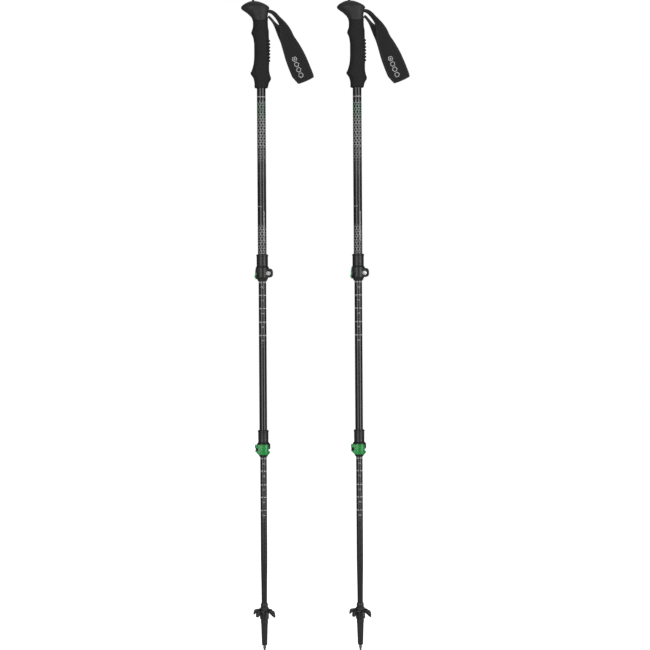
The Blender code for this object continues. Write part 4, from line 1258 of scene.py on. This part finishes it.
    def band(
        self, middle: Array, across: Array, normal: Array, half: Array, length: Array
    ) -> tuple[Array, Array, Array]:
        """The band's surface.

        A section runs round its angle w: the way to the edge times |cos w|^0.45 across and
        half the thickness times |sin w|^0.6 through, with the signs of the cosine and the sine. The whole is
        bowed by the square of the share across, and ripples a little along the wide part.

        Args:
            middle: The route's points.
            across: The way across the band at each.
            normal: The way through the band at each.
            half: How far the right and the left edge lie from the route at each.
            length: The length along the band at each.

        Returns:
            The points, the map with its extra column, and each point's distance from the edge.
        """
        w = np.linspace(0, 2 * math.pi, 64, endpoint=False)
        share = np.sign(np.cos(w)) * np.abs(np.cos(w)) ** 0.45
        through = np.sign(np.sin(w)) * np.abs(np.sin(w)) ** 0.6
        wide = eased(0.008, 0.017, half.max(axis=1))[:, None]
        ripple = 0.00025 * wide * np.sin(length[:, None] * 2 * math.pi / 0.047 + 2.2 * share[None]) * share[None]
        bowed = self.bow * wide * (1 - share[None] ** 2) - 0.4 * self.bow * wide
        rim = 1 + 0.12 * wide * eased(0.86, 0.94, np.abs(share))[None]
        depth = self.thick / 2 * through[None] * rim - bowed + ripple
        edge = np.where(share[None] > 0, half[:, 1:], half[:, :1])
        a = edge * share[None]
        points = middle[:, None] + across[:, None] * a[..., None] + normal[:, None] * depth[..., None]
        outer = np.where(through < 0, 0.0, 0.1)[None] + a
        chart = np.stack([outer, np.broadcast_to(length[:, None], a.shape)], axis=-1)
        chart = np.concatenate([chart, chart[:, :1]], axis=1)
        return points, chart, edge - np.abs(a)

    def mark_hem(self, mesh: bpy.types.Mesh, hem: Array) -> None:
        """Keeps each point's distance from the band's edge in the mesh's attribute hem.

        Args:
            mesh: The band's mesh, with one vertex for each point.
            hem: The distances.
        """
        attribute = mesh.attributes.new("hem", "FLOAT", "POINT")
        attribute.data.foreach_set("value", hem.reshape(-1).astype(np.float32))


@dataclass(frozen=True)
class LeverLock:
    """One lever lock, in its own frame: its bolt at x = bolt_x along Y, its ears towards +X.

    Attributes:
        side: The pole.
        place: upper or lower.
        x: Where the pole's axis stands.
        height: The bolt's height.
        turn: How far the lock is turned about the pole, in degrees.
        outer_r: The radius of the tube in its sleeve.
        inner_r: The radius of the tube that it clamps.
        holder: The body that carries it.
    """

    side: str
    place: str
    x: float
    height: float
    turn: float
    outer_r: float
    inner_r: float
    holder: str

    SLEEVE_WALL = 0.0021
    SLEEVE_TOP = 0.0352
    HOOD = 0.0095
    EAR = (-0.0075, 0.0090)
    EAR_INSIDE, EAR_OUTSIDE = 0.0010, 0.0042
    TAB_TURN = (150.0, 156.0)
    TAB_TOP = -0.0034
    NUT_R = 0.0039
    KNUCKLE_R = 0.0040
    LEVER_TOP = 0.0088
    LEVER_BOTTOM = -0.0100

    @property
    def bore_r(self) -> float:
        """The clamp ring's bore."""
        return self.inner_r + FIT

    @property
    def clamp_r(self) -> float:
        """The clamp ring's outer radius."""
        return self.bore_r + 0.0033

    @property
    def sleeve_r(self) -> float:
        """The sleeve's outer radius."""
        return self.outer_r + FIT + self.SLEEVE_WALL

    @property
    def bolt_x(self) -> float:
        """How far the bolt is from the axis."""
        return self.inner_r + 0.0030

    @property
    def lever_r(self) -> tuple[float, float]:
        """The lever shell's inner and outer radius."""
        inner = self.clamp_r + 0.0009
        return inner, inner + 0.0026

    def build(self) -> None:
        """The lock's pieces."""
        name = f"{self.side}_{self.place}_lock"
        ears = [self.lever_ear(), self.nut_ear()]
        body = [self.sleeve(), self.clamp_ring(), self.cheek(), self.guard(), *ears, self.well()]
        self.show(f"{name}_body", body, COLLAR, self.holder, "collar", [f"{name}_collar"])
        lever_body = f"{self.side}_{self.place}_lever"
        self.show(f"{name}_handle", self.lever(), LEVER, lever_body, "lever", [f"{name}_lever"])
        nut_body = f"{self.side}_{self.place}_nut"
        self.show(f"{name}_round_nut", [self.nut()], NUT_STEEL, nut_body, "steel", [f"{name}_tension_nut"])
        dress(f"{name}_bolt", BLACK_STEEL)
        dress(f"{name}_lever_pin", BLACK_STEEL)
        dress(f"{name}_cam_plate", ACETAL)

    def show(
        self, name: str, grids: Sequence[Grid], finish: Finish, body: str, slot: str, nodes: Sequence[str]
    ) -> None:
        """Sets grids from the lock's frame in place and shows them."""
        placed = [grid.placed(self.turn, (self.x, 0.0, self.height)) for grid in grids]
        show(name, placed, finish, body, nodes)

    def sleeve(self) -> Grid:
        """The sleeve on the outer tube, with its rim and the hood below."""
        seat = self.outer_r + FIT
        hood = max(self.sleeve_r, self.clamp_r) + 0.0019
        top, rim = self.SLEEVE_TOP, 0.0006
        return turned(rounded((
            (self.sleeve_r - 0.0004, top),
            (self.sleeve_r + rim, top - 0.0019),
            (self.sleeve_r + rim, top - 0.0036),
            (self.sleeve_r, top - 0.0037),
            (self.sleeve_r, self.HOOD + 0.0038),
            (hood, self.HOOD + 0.0010),
            (hood, self.HOOD - 0.0003),
            (self.bore_r, self.HOOD - 0.0003),
            (self.bore_r, SEAT_HEIGHT - FIT),
            (seat, SEAT_HEIGHT - FIT),
            (seat, top),
        ), 0.0005))

    def clamp_ring(self) -> Grid:
        """The ring that grips the inner tube, open at its slit and coned below."""
        outline = rounded((
            (self.clamp_r, self.HOOD),
            (self.clamp_r, -0.0080),
            (self.bore_r + 0.0010, -0.0138),
            (self.bore_r, -0.0138),
            (self.bore_r, self.HOOD),
        ), 0.0007)
        gap = math.degrees(self.EAR_INSIDE / self.bore_r)
        return turned(outline, arc=(gap, 360 - gap), sides=120)

    def cheek(self) -> Grid:
        """The thick side of the ring, opposite the lever, which runs out into the nut's ear."""
        outer = self.lever_r[1] - 0.0018
        outline = rounded((
            (outer, self.HOOD + 0.0002),
            (outer, -0.0076),
            (self.clamp_r - 0.0006, -0.0108),
            (self.clamp_r - 0.0010, self.HOOD + 0.0002),
        ), 0.0009)
        return turned(outline, arc=(240.0, 330.0), sides=144)

    def guard(self) -> Grid:
        """The hook under the hood that stands before the lever's end."""
        outline = rounded((
            (self.lever_r[1], self.HOOD + 0.0008),
            (self.lever_r[1] - 0.0001, 0.0012),
            (self.lever_r[1] - 0.0016, -0.0010),
            (self.clamp_r - 0.0006, 0.0010),
            (self.clamp_r - 0.0006, self.HOOD + 0.0008),
        ), 0.0010)
        return turned(outline, arc=(207.0, 241.0), sides=144)

    def lever_ear(self) -> Grid:
        """The ear on the lever's side."""
        low, high = self.EAR
        reach = self.bolt_x + 0.0036
        corners = ((self.bore_r - FIT, low), (reach, low), (reach, high), (self.bore_r - FIT, high))
        flat = rounded(corners, 0.0036, steps=8)
        return slab(steady(flat), self.EAR_INSIDE, self.EAR_OUTSIDE, 0.0005)

    def ear_reach(self, y: Array) -> Array:
        """How far the nut's ear reaches from the bolt at a depth: 5.5 mm by the slit, 8.8 mm outside."""
        return 0.0055 + 0.0033 * np.clip(-y / 0.0103, 0.0, 1.0)

    def nut_ear(self) -> Grid:
        """The ear on the nut's side, up to the bottom of the nut's well."""
        low, high = self.EAR

        def outline(y: Array) -> Array:
            """The ear's outline at each depth."""
            corner = rounded(((0.0, low), (0.016, low), (0.016, high), (0.0, high)), 0.0062, steps=8)
            inside = self.bore_r - FIT
            x = inside + (self.bolt_x + self.ear_reach(y)[:, None] - inside) * corner[None, :, 0] / 0.016
            return np.stack([x, np.broadcast_to(corner[None, :, 1], x.shape)], axis=-1)

        return slab(outline, -0.0064, -self.EAR_INSIDE, 0.0004)

    def well(self) -> Grid:
        """The wall round the nut: at each angle f about the bolt, from the well's radius to an outline.

        The outline is a rounded oblong, (|cos f / a|^n + |sin f / b|^n)^(-1/n), with its own reach a or
        b on each of the four sides, and rounder outwards than inwards.
        """
        f = np.linspace(0, 2 * math.pi, 120, endpoint=False)[:, None]
        bore, edge = self.NUT_R + 0.0006, 0.0006
        quarter = np.linspace(0, math.pi / 2, 6)
        depth = np.concatenate([
            -0.0103 + edge * (1 - np.sin(quarter)), -0.0103 + edge * (1 - np.cos(quarter)), [-0.0060, -0.0060],
        ])[None]
        outside = np.concatenate([np.zeros(6), np.ones(6), [1.0, 0.0]])[None]
        ease = np.concatenate([edge * (1 - np.cos(quarter)), -edge * (1 - np.sin(quarter)), [0.0, 0.0]])[None]
        a = np.where(np.cos(f) > 0, self.ear_reach(depth), 0.0056)
        b = np.where(np.sin(f) > 0, self.EAR[1], -self.EAR[0])
        n = np.where(np.cos(f) > 0, 3.0, 6.0)
        wide = (np.abs(np.cos(f) / a) ** n + np.abs(np.sin(f) / b) ** n) ** (-1 / n)
        radius = bore + outside * (wide - bore) + ease
        points = np.stack([
            self.bolt_x + radius * np.cos(f),
            np.broadcast_to(depth, radius.shape),
            radius * np.sin(f),
        ], axis=-1)
        return Grid(points, ring_rows=True, ring_columns=True)

    def nut(self) -> Grid:
        """The round nut: fluted round its rim, crowned, with a coin slot across its face.

        The face drops by the slot's depth within half its width of the middle line, with eased
        sides, and the rim's radius falls by 0.12 mm between flutes.
        """
        outer, inner, r = -0.0109, -0.0063, self.NUT_R
        rim = rounded(((0.86, 0), (1.0, 0), (1.0, 1)), 0.12, False)[1:-1]
        share = np.concatenate([np.linspace(0.0, 0.86, 34), rim[:, 0]])
        drop = np.concatenate([np.zeros(34), rim[:, 1] * 0.004])
        radius = np.append(share, [1.0, 1.0, 0.0]) * r
        depth = np.append(outer + drop, [outer + 0.0012, inner, inner])
        f = np.linspace(0, 2 * math.pi, 144, endpoint=False)[:, None]
        flutes = 1 - 0.03 * eased(0.96, 1.0, radius / r)[None] * (0.5 + 0.5 * np.cos(24 * f)) ** 2
        x, z = radius[None] * flutes * np.cos(f), radius[None] * flutes * np.sin(f)
        slot = (1 - eased(0.00042, 0.00060, np.abs(x))) * (1 - eased(0.0026, 0.0029, np.abs(z)))
        face = (depth < outer + 0.0004)[None]
        crown = 0.00025 * (radius / r)[None] ** 2 * face
        y = depth[None] + crown + 0.0007 * slot * face
        return Grid(np.stack([self.bolt_x + x, y, z], axis=-1), ring_rows=True)

    def shell(self, start: float, end: float, low: float, high: float) -> Grid:
        """A stretch of the lever's shell between two angles.

        Its outer radius swells towards the knuckle and is crowned across its height. Beyond 150
        degrees only the finger tab at its foot goes on, and the end thins.

        Args:
            start: The first angle, in degrees.
            end: The last angle.
            low: The lower edge's height.
            high: The upper edge's height.

        Returns:
            The grid, closed by its caps.
        """
        inner, outer = self.lever_r
        angle = np.linspace(start, end, max(12, int((end - start) / 1.2)))[:, None]
        unit = rounded(((1, 1), (1, 0), (0, 0), (0, 1)), 0.22, steps=5)
        tall = rounded(((1, 1), (1, 0), (0, 0), (0, 1)), 0.06, steps=5)
        side, rise = unit[None, :, 0], tall[None, :, 1]
        cut = eased(*self.TAB_TURN, angle)
        upper = high + (min(high, self.TAB_TOP) - high) * cut
        z = low + (upper - low) * rise
        swell = 0.0024 * (1 - eased(52.0, 84.0, angle))
        crown = 0.0005 * np.clip(1 - (z / 0.0095) ** 2, 0.0, 1.0)
        lip = 0.0006 * eased(158.0, 170.0, angle) - 0.0009 * eased(168.0, 173.0, angle)
        r = inner + side * (outer - inner + swell + lip - 0.0003) + side * crown
        a = np.radians(angle)
        points = np.stack([r * np.cos(a), r * np.sin(a), z + 0 * r], axis=-1)
        return Grid(points, ring_columns=True, capped=True)

    def lever(self) -> list[Grid]:
        """The lever: its shell, two arms to the knuckle and the knuckle's two eyes.

        Its two lower corners are cut along planes that slant up and outwards.
        """
        pin = (self.bolt_x, 0.0096)
        gap, r = 0.0025, self.KNUCKLE_R
        upper = turned(rounded(
            ((r, self.LEVER_TOP), (r, gap), (0.0015, gap), (0.0015, self.LEVER_TOP)), 0.0008), pin, sides=64)
        lower = turned(rounded(
            ((r, -gap), (r, self.LEVER_BOTTOM), (0.0015, self.LEVER_BOTTOM), (0.0015, -gap)), 0.0008), pin, sides=64)
        grids = [
            self.shell(65.0, 173.0, self.LEVER_BOTTOM, self.LEVER_TOP),
            self.shell(45.0, 68.0, gap, self.LEVER_TOP),
            self.shell(45.0, 68.0, self.LEVER_BOTTOM, -gap),
            upper,
            lower,
        ]
        outwards = np.array([math.cos(math.radians(15.0)), math.sin(math.radians(15.0)), 0.0])

        def cornered(points: Array) -> Array:
            """The points, with the lower edge raised to a floor that slopes with the way outwards."""
            away = points @ outwards
            floor = np.maximum(-0.0115 + 1.28 * (away - 0.0075), -0.0124 - (away + 0.0067))
            z = np.maximum(points[..., 2], np.minimum(floor, points[..., 2] + 0.006))
            return np.concatenate([points[..., :2], z[..., None]], axis=-1)

        return [grid.shaped(cornered) if i in (0, 2, 4) else grid for i, grid in enumerate(grids)]


@dataclass(frozen=True)
class Foot:
    """The flex tip with its thread, the ferrule, the carbide and the basket.

    Attributes:
        side: The pole.
        x: Where its axis stands.
    """

    side: str
    x: float

    THREAD = (0.0550, 0.0885)
    THREAD_R = 0.0067
    LOBES = 6
    TURN = -12.0

    def build(self) -> None:
        """The foot's pieces."""
        body = f"{self.side}_lower_section"
        show(f"{self.side}_flex_tip_moulding", [self.flex_tip()], NYLON, body, [f"{self.side}_flex_tip"])
        show(f"{self.side}_ferrule_sleeve", [self.ferrule()], FERRULE, body, [f"{self.side}_tip_ferrule"])
        show(f"{self.side}_carbide_crown", [self.carbide()], CARBIDE, body, [f"{self.side}_carbide_tip"])
        grids = [self.hub(), self.web()]
        show(f"{self.side}_basket_moulding", grids, NYLON, f"{self.side}_basket", [f"{self.side}_basket"])
        dress(f"{self.side}_middle_guide_bush", ACETAL)
        dress(f"{self.side}_lower_guide_bush", ACETAL)

    def flex_tip(self) -> Grid:
        """The tip: a profile turned about the pole, with a thread of 3 mm pitch cut in its upper part."""
        low, high = self.THREAD
        socket = 0.0054
        outline = rounded((
            (socket + 0.0006, 0.0918),
            (socket + 0.0009, high + 0.0015),
            (self.THREAD_R, high),
            (self.THREAD_R, low),
            (0.0062, low - 0.0008),
            (0.0059, 0.0440),
            (0.0053, 0.0260),
            (0.0050, 0.0160),
            (0.0044, 0.0145),
            (0.0030, 0.0145),
            (0.0030, 0.0245),
            (0.0012, 0.0245),
            (0.0012, 0.0444),
            (socket, 0.0444),
            (socket, 0.0918),
        ), 0.0006)
        wall = np.stack([np.full(140, self.THREAD_R), np.linspace(high - 0.0008, low + 0.0008, 140)], axis=-1)
        split = int(np.argmax(outline[:, 1] < (low + high) / 2))
        outline = np.vstack([outline[:split], wall, outline[split:]])
        grid = turned(outline, (self.x, 0.0), sides=96)

        def threaded(points: Array) -> Array:
            """The points, with the thread's grooves drawn in round the outside."""
            x, y, z = np.moveaxis(points, -1, 0)
            angle = np.arctan2(y, x - self.x)
            on = eased(low + 0.0070, low + 0.0085, z) * (1 - eased(high - 0.0030, high - 0.0010, z))
            outer = np.hypot(x - self.x, y) > self.THREAD_R - 0.0002
            wave = 0.5 - 0.5 * np.cos(2 * math.pi * z / 0.0030 - angle)
            scale = 1 - 0.00055 / self.THREAD_R * on * outer * wave**1.5
            return np.stack([self.x + (x - self.x) * scale, y * scale, z], axis=-1)

        return grid.shaped(threaded)

    def ferrule(self) -> Grid:
        """The steel sleeve, with a fine groove round it."""
        return turned(rounded((
            (0.0027, 0.0240), (0.0027, 0.0128), (0.00255, 0.0125), (0.00255, 0.0122), (0.0027, 0.0119),
            (0.0027, 0.0090), (0.0022, 0.0085), (0.0018, 0.0085), (0.0018, 0.0240),
        ), 0.0002), (self.x, 0.0), sides=64)

    def carbide(self) -> Grid:
        """The carbide: a shank and a crown with eight flutes and a hollow face."""
        outline = rounded((
            (0.0, 0.0195), (0.0015, 0.0195), (0.0015, 0.0082), (0.0019, 0.0078), (0.0019, 0.0012),
            (0.0017, 0.0), (0.0013, 0.0), (0.0, 0.0007),
        ), 0.0002, ring=False)
        grid = turned(outline, (self.x, 0.0), sides=96, ring=False)

        def fluted(points: Array) -> Array:
            """The points, with eight flutes drawn in towards the crown."""
            x, y, z = np.moveaxis(points, -1, 0)
            angle = np.arctan2(y, x - self.x)
            depth = 0.10 * (1 - eased(0.0045, 0.0070, z)) * (0.5 + 0.5 * np.cos(8 * angle)) ** 2
            return np.stack([self.x + (x - self.x) * (1 - depth), y * (1 - depth), z], axis=-1)

        return grid.shaped(fluted)

    def hub(self) -> Grid:
        """The basket's hub, ribbed round its outside for the fingers."""
        outline = rounded((
            (0.0078, 0.0837), (0.0084, 0.0826), (0.0084, 0.0655),
            (0.0078, 0.0625), (0.0070, 0.0625), (0.0070, 0.0837),
        ), 0.0006)
        grid = turned(outline, (self.x, 0.0), sides=144)

        def ribbed(points: Array) -> Array:
            """The points, with eighteen hollows drawn in round the outside."""
            x, y, z = np.moveaxis(points, -1, 0)
            angle, r = np.arctan2(y, x - self.x), np.hypot(x - self.x, y)
            scale = 1 - 0.035 * eased(0.0078, 0.0083, r) * (0.5 + 0.5 * np.cos(18 * angle)) ** 2
            return np.stack([self.x + (x - self.x) * scale, y * scale, z], axis=-1)

        return grid.shaped(ribbed)

    def web(self) -> Grid:
        """The basket's web: six lobes that arch out from the hub and hook down at their ends.

        Going out by a share s, the radius is r0 + (R - r0) sin(s pi / 2) and the height falls with
        s^4, so the rim turns down. R and the fall follow a wave of six round the pole, and the
        underside is the same curve set in by the thickness along its normal.
        """
        theta = np.linspace(0, 2 * math.pi, 360, endpoint=False)[:, None]
        wave = 0.5 + 0.5 * np.cos(self.LOBES * (theta - math.radians(self.TURN)))
        lobe = eased(0.42, 0.90, wave)
        s = np.linspace(0.0, 1.0, 30)[None]
        hub, reach, thick = 0.0080, 0.0114 + 0.0090 * lobe, 0.0017
        r = hub + (reach - hub) * np.sin(s * math.pi / 2)
        tilt = s * (0.0026 - 0.0020 * np.cos(theta) + 0.0018 * np.sin(theta))
        z = 0.0765 + 0.0022 * np.sin(math.pi * s) - (0.0016 + 0.0084 * lobe) * s**4 - 0.0010 * s + tilt
        dr, dz = np.gradient(r, axis=1), np.gradient(z, axis=1)
        size = np.hypot(dr, dz)
        under_r, under_z = r + thick * dz / size, z - thick * dr / size
        under_r = np.minimum(under_r, r - 0.0004 * s)
        loop_r = np.concatenate([r, under_r[:, ::-1]], axis=1)
        loop_z = np.concatenate([z, under_z[:, ::-1]], axis=1)
        points = np.stack([self.x + loop_r * np.cos(theta), loop_r * np.sin(theta), loop_z], axis=-1)
        return Grid(points, ring_rows=True, ring_columns=True)


@dataclass(frozen=True)
class Studio:
    """The floor, the soft lights, the surroundings and the camera.

    Attributes:
        distance: How far the camera stands in front of the poles.
        view: The height of what it sees there.
        centre: Where it looks, in X and Z.
        roll: How far it leans, in degrees.
    """

    distance: float = 3.2
    view: float = 1.19275
    centre: tuple[float, float] = (0.1144, 0.6012)
    roll: float = 0.353

    def build(self) -> None:
        """The whole set."""
        self.camera()
        self.floor()
        self.softbox("left", -29.0, 26.0, 3.0)
        self.softbox("right", 47.0, 27.0, 3.6)
        self.overhead()
        self.surroundings()

    def camera(self) -> None:
        """The camera, level, with its slight roll."""
        lens = bpy.data.cameras.new("camera")
        lens.sensor_width = 36.0
        lens.lens = 36.0 * self.distance / self.view
        camera = bpy.data.objects.new("camera", lens)
        camera.location = (self.centre[0], -self.distance, self.centre[1])
        camera.rotation_euler = (math.pi / 2, math.radians(self.roll), 0.0)
        bpy.context.scene.collection.objects.link(camera)
        bpy.context.scene.camera = camera
        bpy.context.scene.view_settings.view_transform = "Standard"

    def floor(self) -> None:
        """A plain pale floor, a sheet of 40 by 40 squares."""
        side = np.linspace(-6.0, 6.0, 41)
        x, y = np.meshgrid(side, side, indexing="ij")
        mesh = mesh_from("floor", [Grid(np.stack([x, y, 0 * x - 0.0002], axis=-1))])
        graph = Graph("floor_paint", Roughness=0.9, Specular_IOR_Level=0.1, Emission_Color=(1, 1, 1, 1))
        graph.colour(graph.blend(0.2 * graph.noise(6.0, 2.0), (0.80, 0.80, 0.80), (0.74, 0.74, 0.74)))
        seen = graph.node("ShaderNodeLightPath").outputs["Is Camera Ray"]
        graph.tree.links.new(seen, graph.shader.inputs["Emission Strength"])
        mesh.materials.append(graph.material)
        floor = bpy.data.objects.new("floor", mesh)
        bpy.context.scene.collection.objects.link(floor)

    def softbox(self, name: str, angle: float, width: float, radiance: float) -> None:
        """A tall softbox that faces the poles.

        Args:
            name: Its name.
            angle: Its angle from the camera, in degrees, to the right.
            width: How wide it looks from the poles, in degrees.
            radiance: How bright it looks.
        """
        away, tall = 2.6, 3.0
        wide = 2 * away * math.tan(math.radians(width / 2))
        light = bpy.data.lights.new(name, "AREA")
        light.shape = "RECTANGLE"
        light.size, light.size_y = wide, tall
        light.energy = radiance * math.pi * wide * tall
        lamp = bpy.data.objects.new(name, light)
        turn = math.radians(angle)
        lamp.location = (self.centre[0] + away * math.sin(turn), -away * math.cos(turn), 0.9)
        lamp.rotation_euler = (math.pi / 2, 0.0, turn)
        bpy.context.scene.collection.objects.link(lamp)

    def overhead(self) -> None:
        """A faint wide light from above and behind."""
        light = bpy.data.lights.new("overhead", "AREA")
        light.shape = "RECTANGLE"
        light.size, light.size_y = 2.0, 1.5
        light.energy = 8.0
        lamp = bpy.data.objects.new("overhead", light)
        lamp.location = (self.centre[0], 1.2, 3.0)
        lamp.rotation_euler = (math.radians(-25), 0.0, 0.0)
        bpy.context.scene.collection.objects.link(lamp)

    def surroundings(self) -> None:
        """A white surround to look at, which lights the poles faintly from the front and hardly from behind."""
        world = bpy.data.worlds.new("surroundings")
        bpy.context.scene.world = world
        world.use_nodes = True
        tree = world.node_tree
        tree.nodes.clear()
        path = tree.nodes.new("ShaderNodeLightPath")
        parts = tree.nodes.new("ShaderNodeSeparateXYZ")
        tree.links.new(tree.nodes.new("ShaderNodeTexCoord").outputs["Generated"], parts.inputs[0])
        front = tree.nodes.new("ShaderNodeMapRange")
        for name, value in (("From Min", 0.35), ("From Max", -0.45), ("To Min", 0.07), ("To Max", 0.30)):
            front.inputs[name].default_value = value
        tree.links.new(parts.outputs["Y"], front.inputs["Value"])
        strength = tree.nodes.new("ShaderNodeMapRange")
        strength.inputs["To Max"].default_value = 1.0
        tree.links.new(front.outputs["Result"], strength.inputs["To Min"])
        tree.links.new(path.outputs["Is Camera Ray"], strength.inputs["Value"])
        light = tree.nodes.new("ShaderNodeBackground")
        tree.links.new(strength.outputs["Result"], light.inputs["Strength"])
        light.inputs["Color"].default_value = (1.0, 1.0, 1.0, 1.0)
        output = tree.nodes.new("ShaderNodeOutputWorld")
        tree.links.new(light.outputs["Background"], output.inputs["Surface"])


@dataclass(frozen=True)
class Pole:
    """One pole, from its grip to its tip."""

    side: str
    x: float

    def build(self) -> None:
        """All of the pole's pieces."""
        Tubes(self.side, self.x).build()
        Grip(self.side, self.x).build()
        Strap(self.side, self.x).build()
        LeverLock(
            self.side, "upper", self.x, UPPER_LOCK_Z, 8.0, 0.0080, 0.0070, f"{self.side}_pole"
        ).build()
        LeverLock(
            self.side, "lower", self.x, LOWER_LOCK_Z, 165.0, 0.0070, 0.0060, f"{self.side}_middle_section"
        ).build()
        Foot(self.side, self.x).build()


def main() -> None:
    """Builds the set and both poles."""
    logging.basicConfig(level=logging.INFO, format="%(name)s: %(message)s")
    Studio().build()
    for side in ("left", "right"):
        low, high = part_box(f"{side}_upper_tube")
        Pole(side, float((low.x + high.x) / 2)).build()


if __name__ == "__main__":
    main()
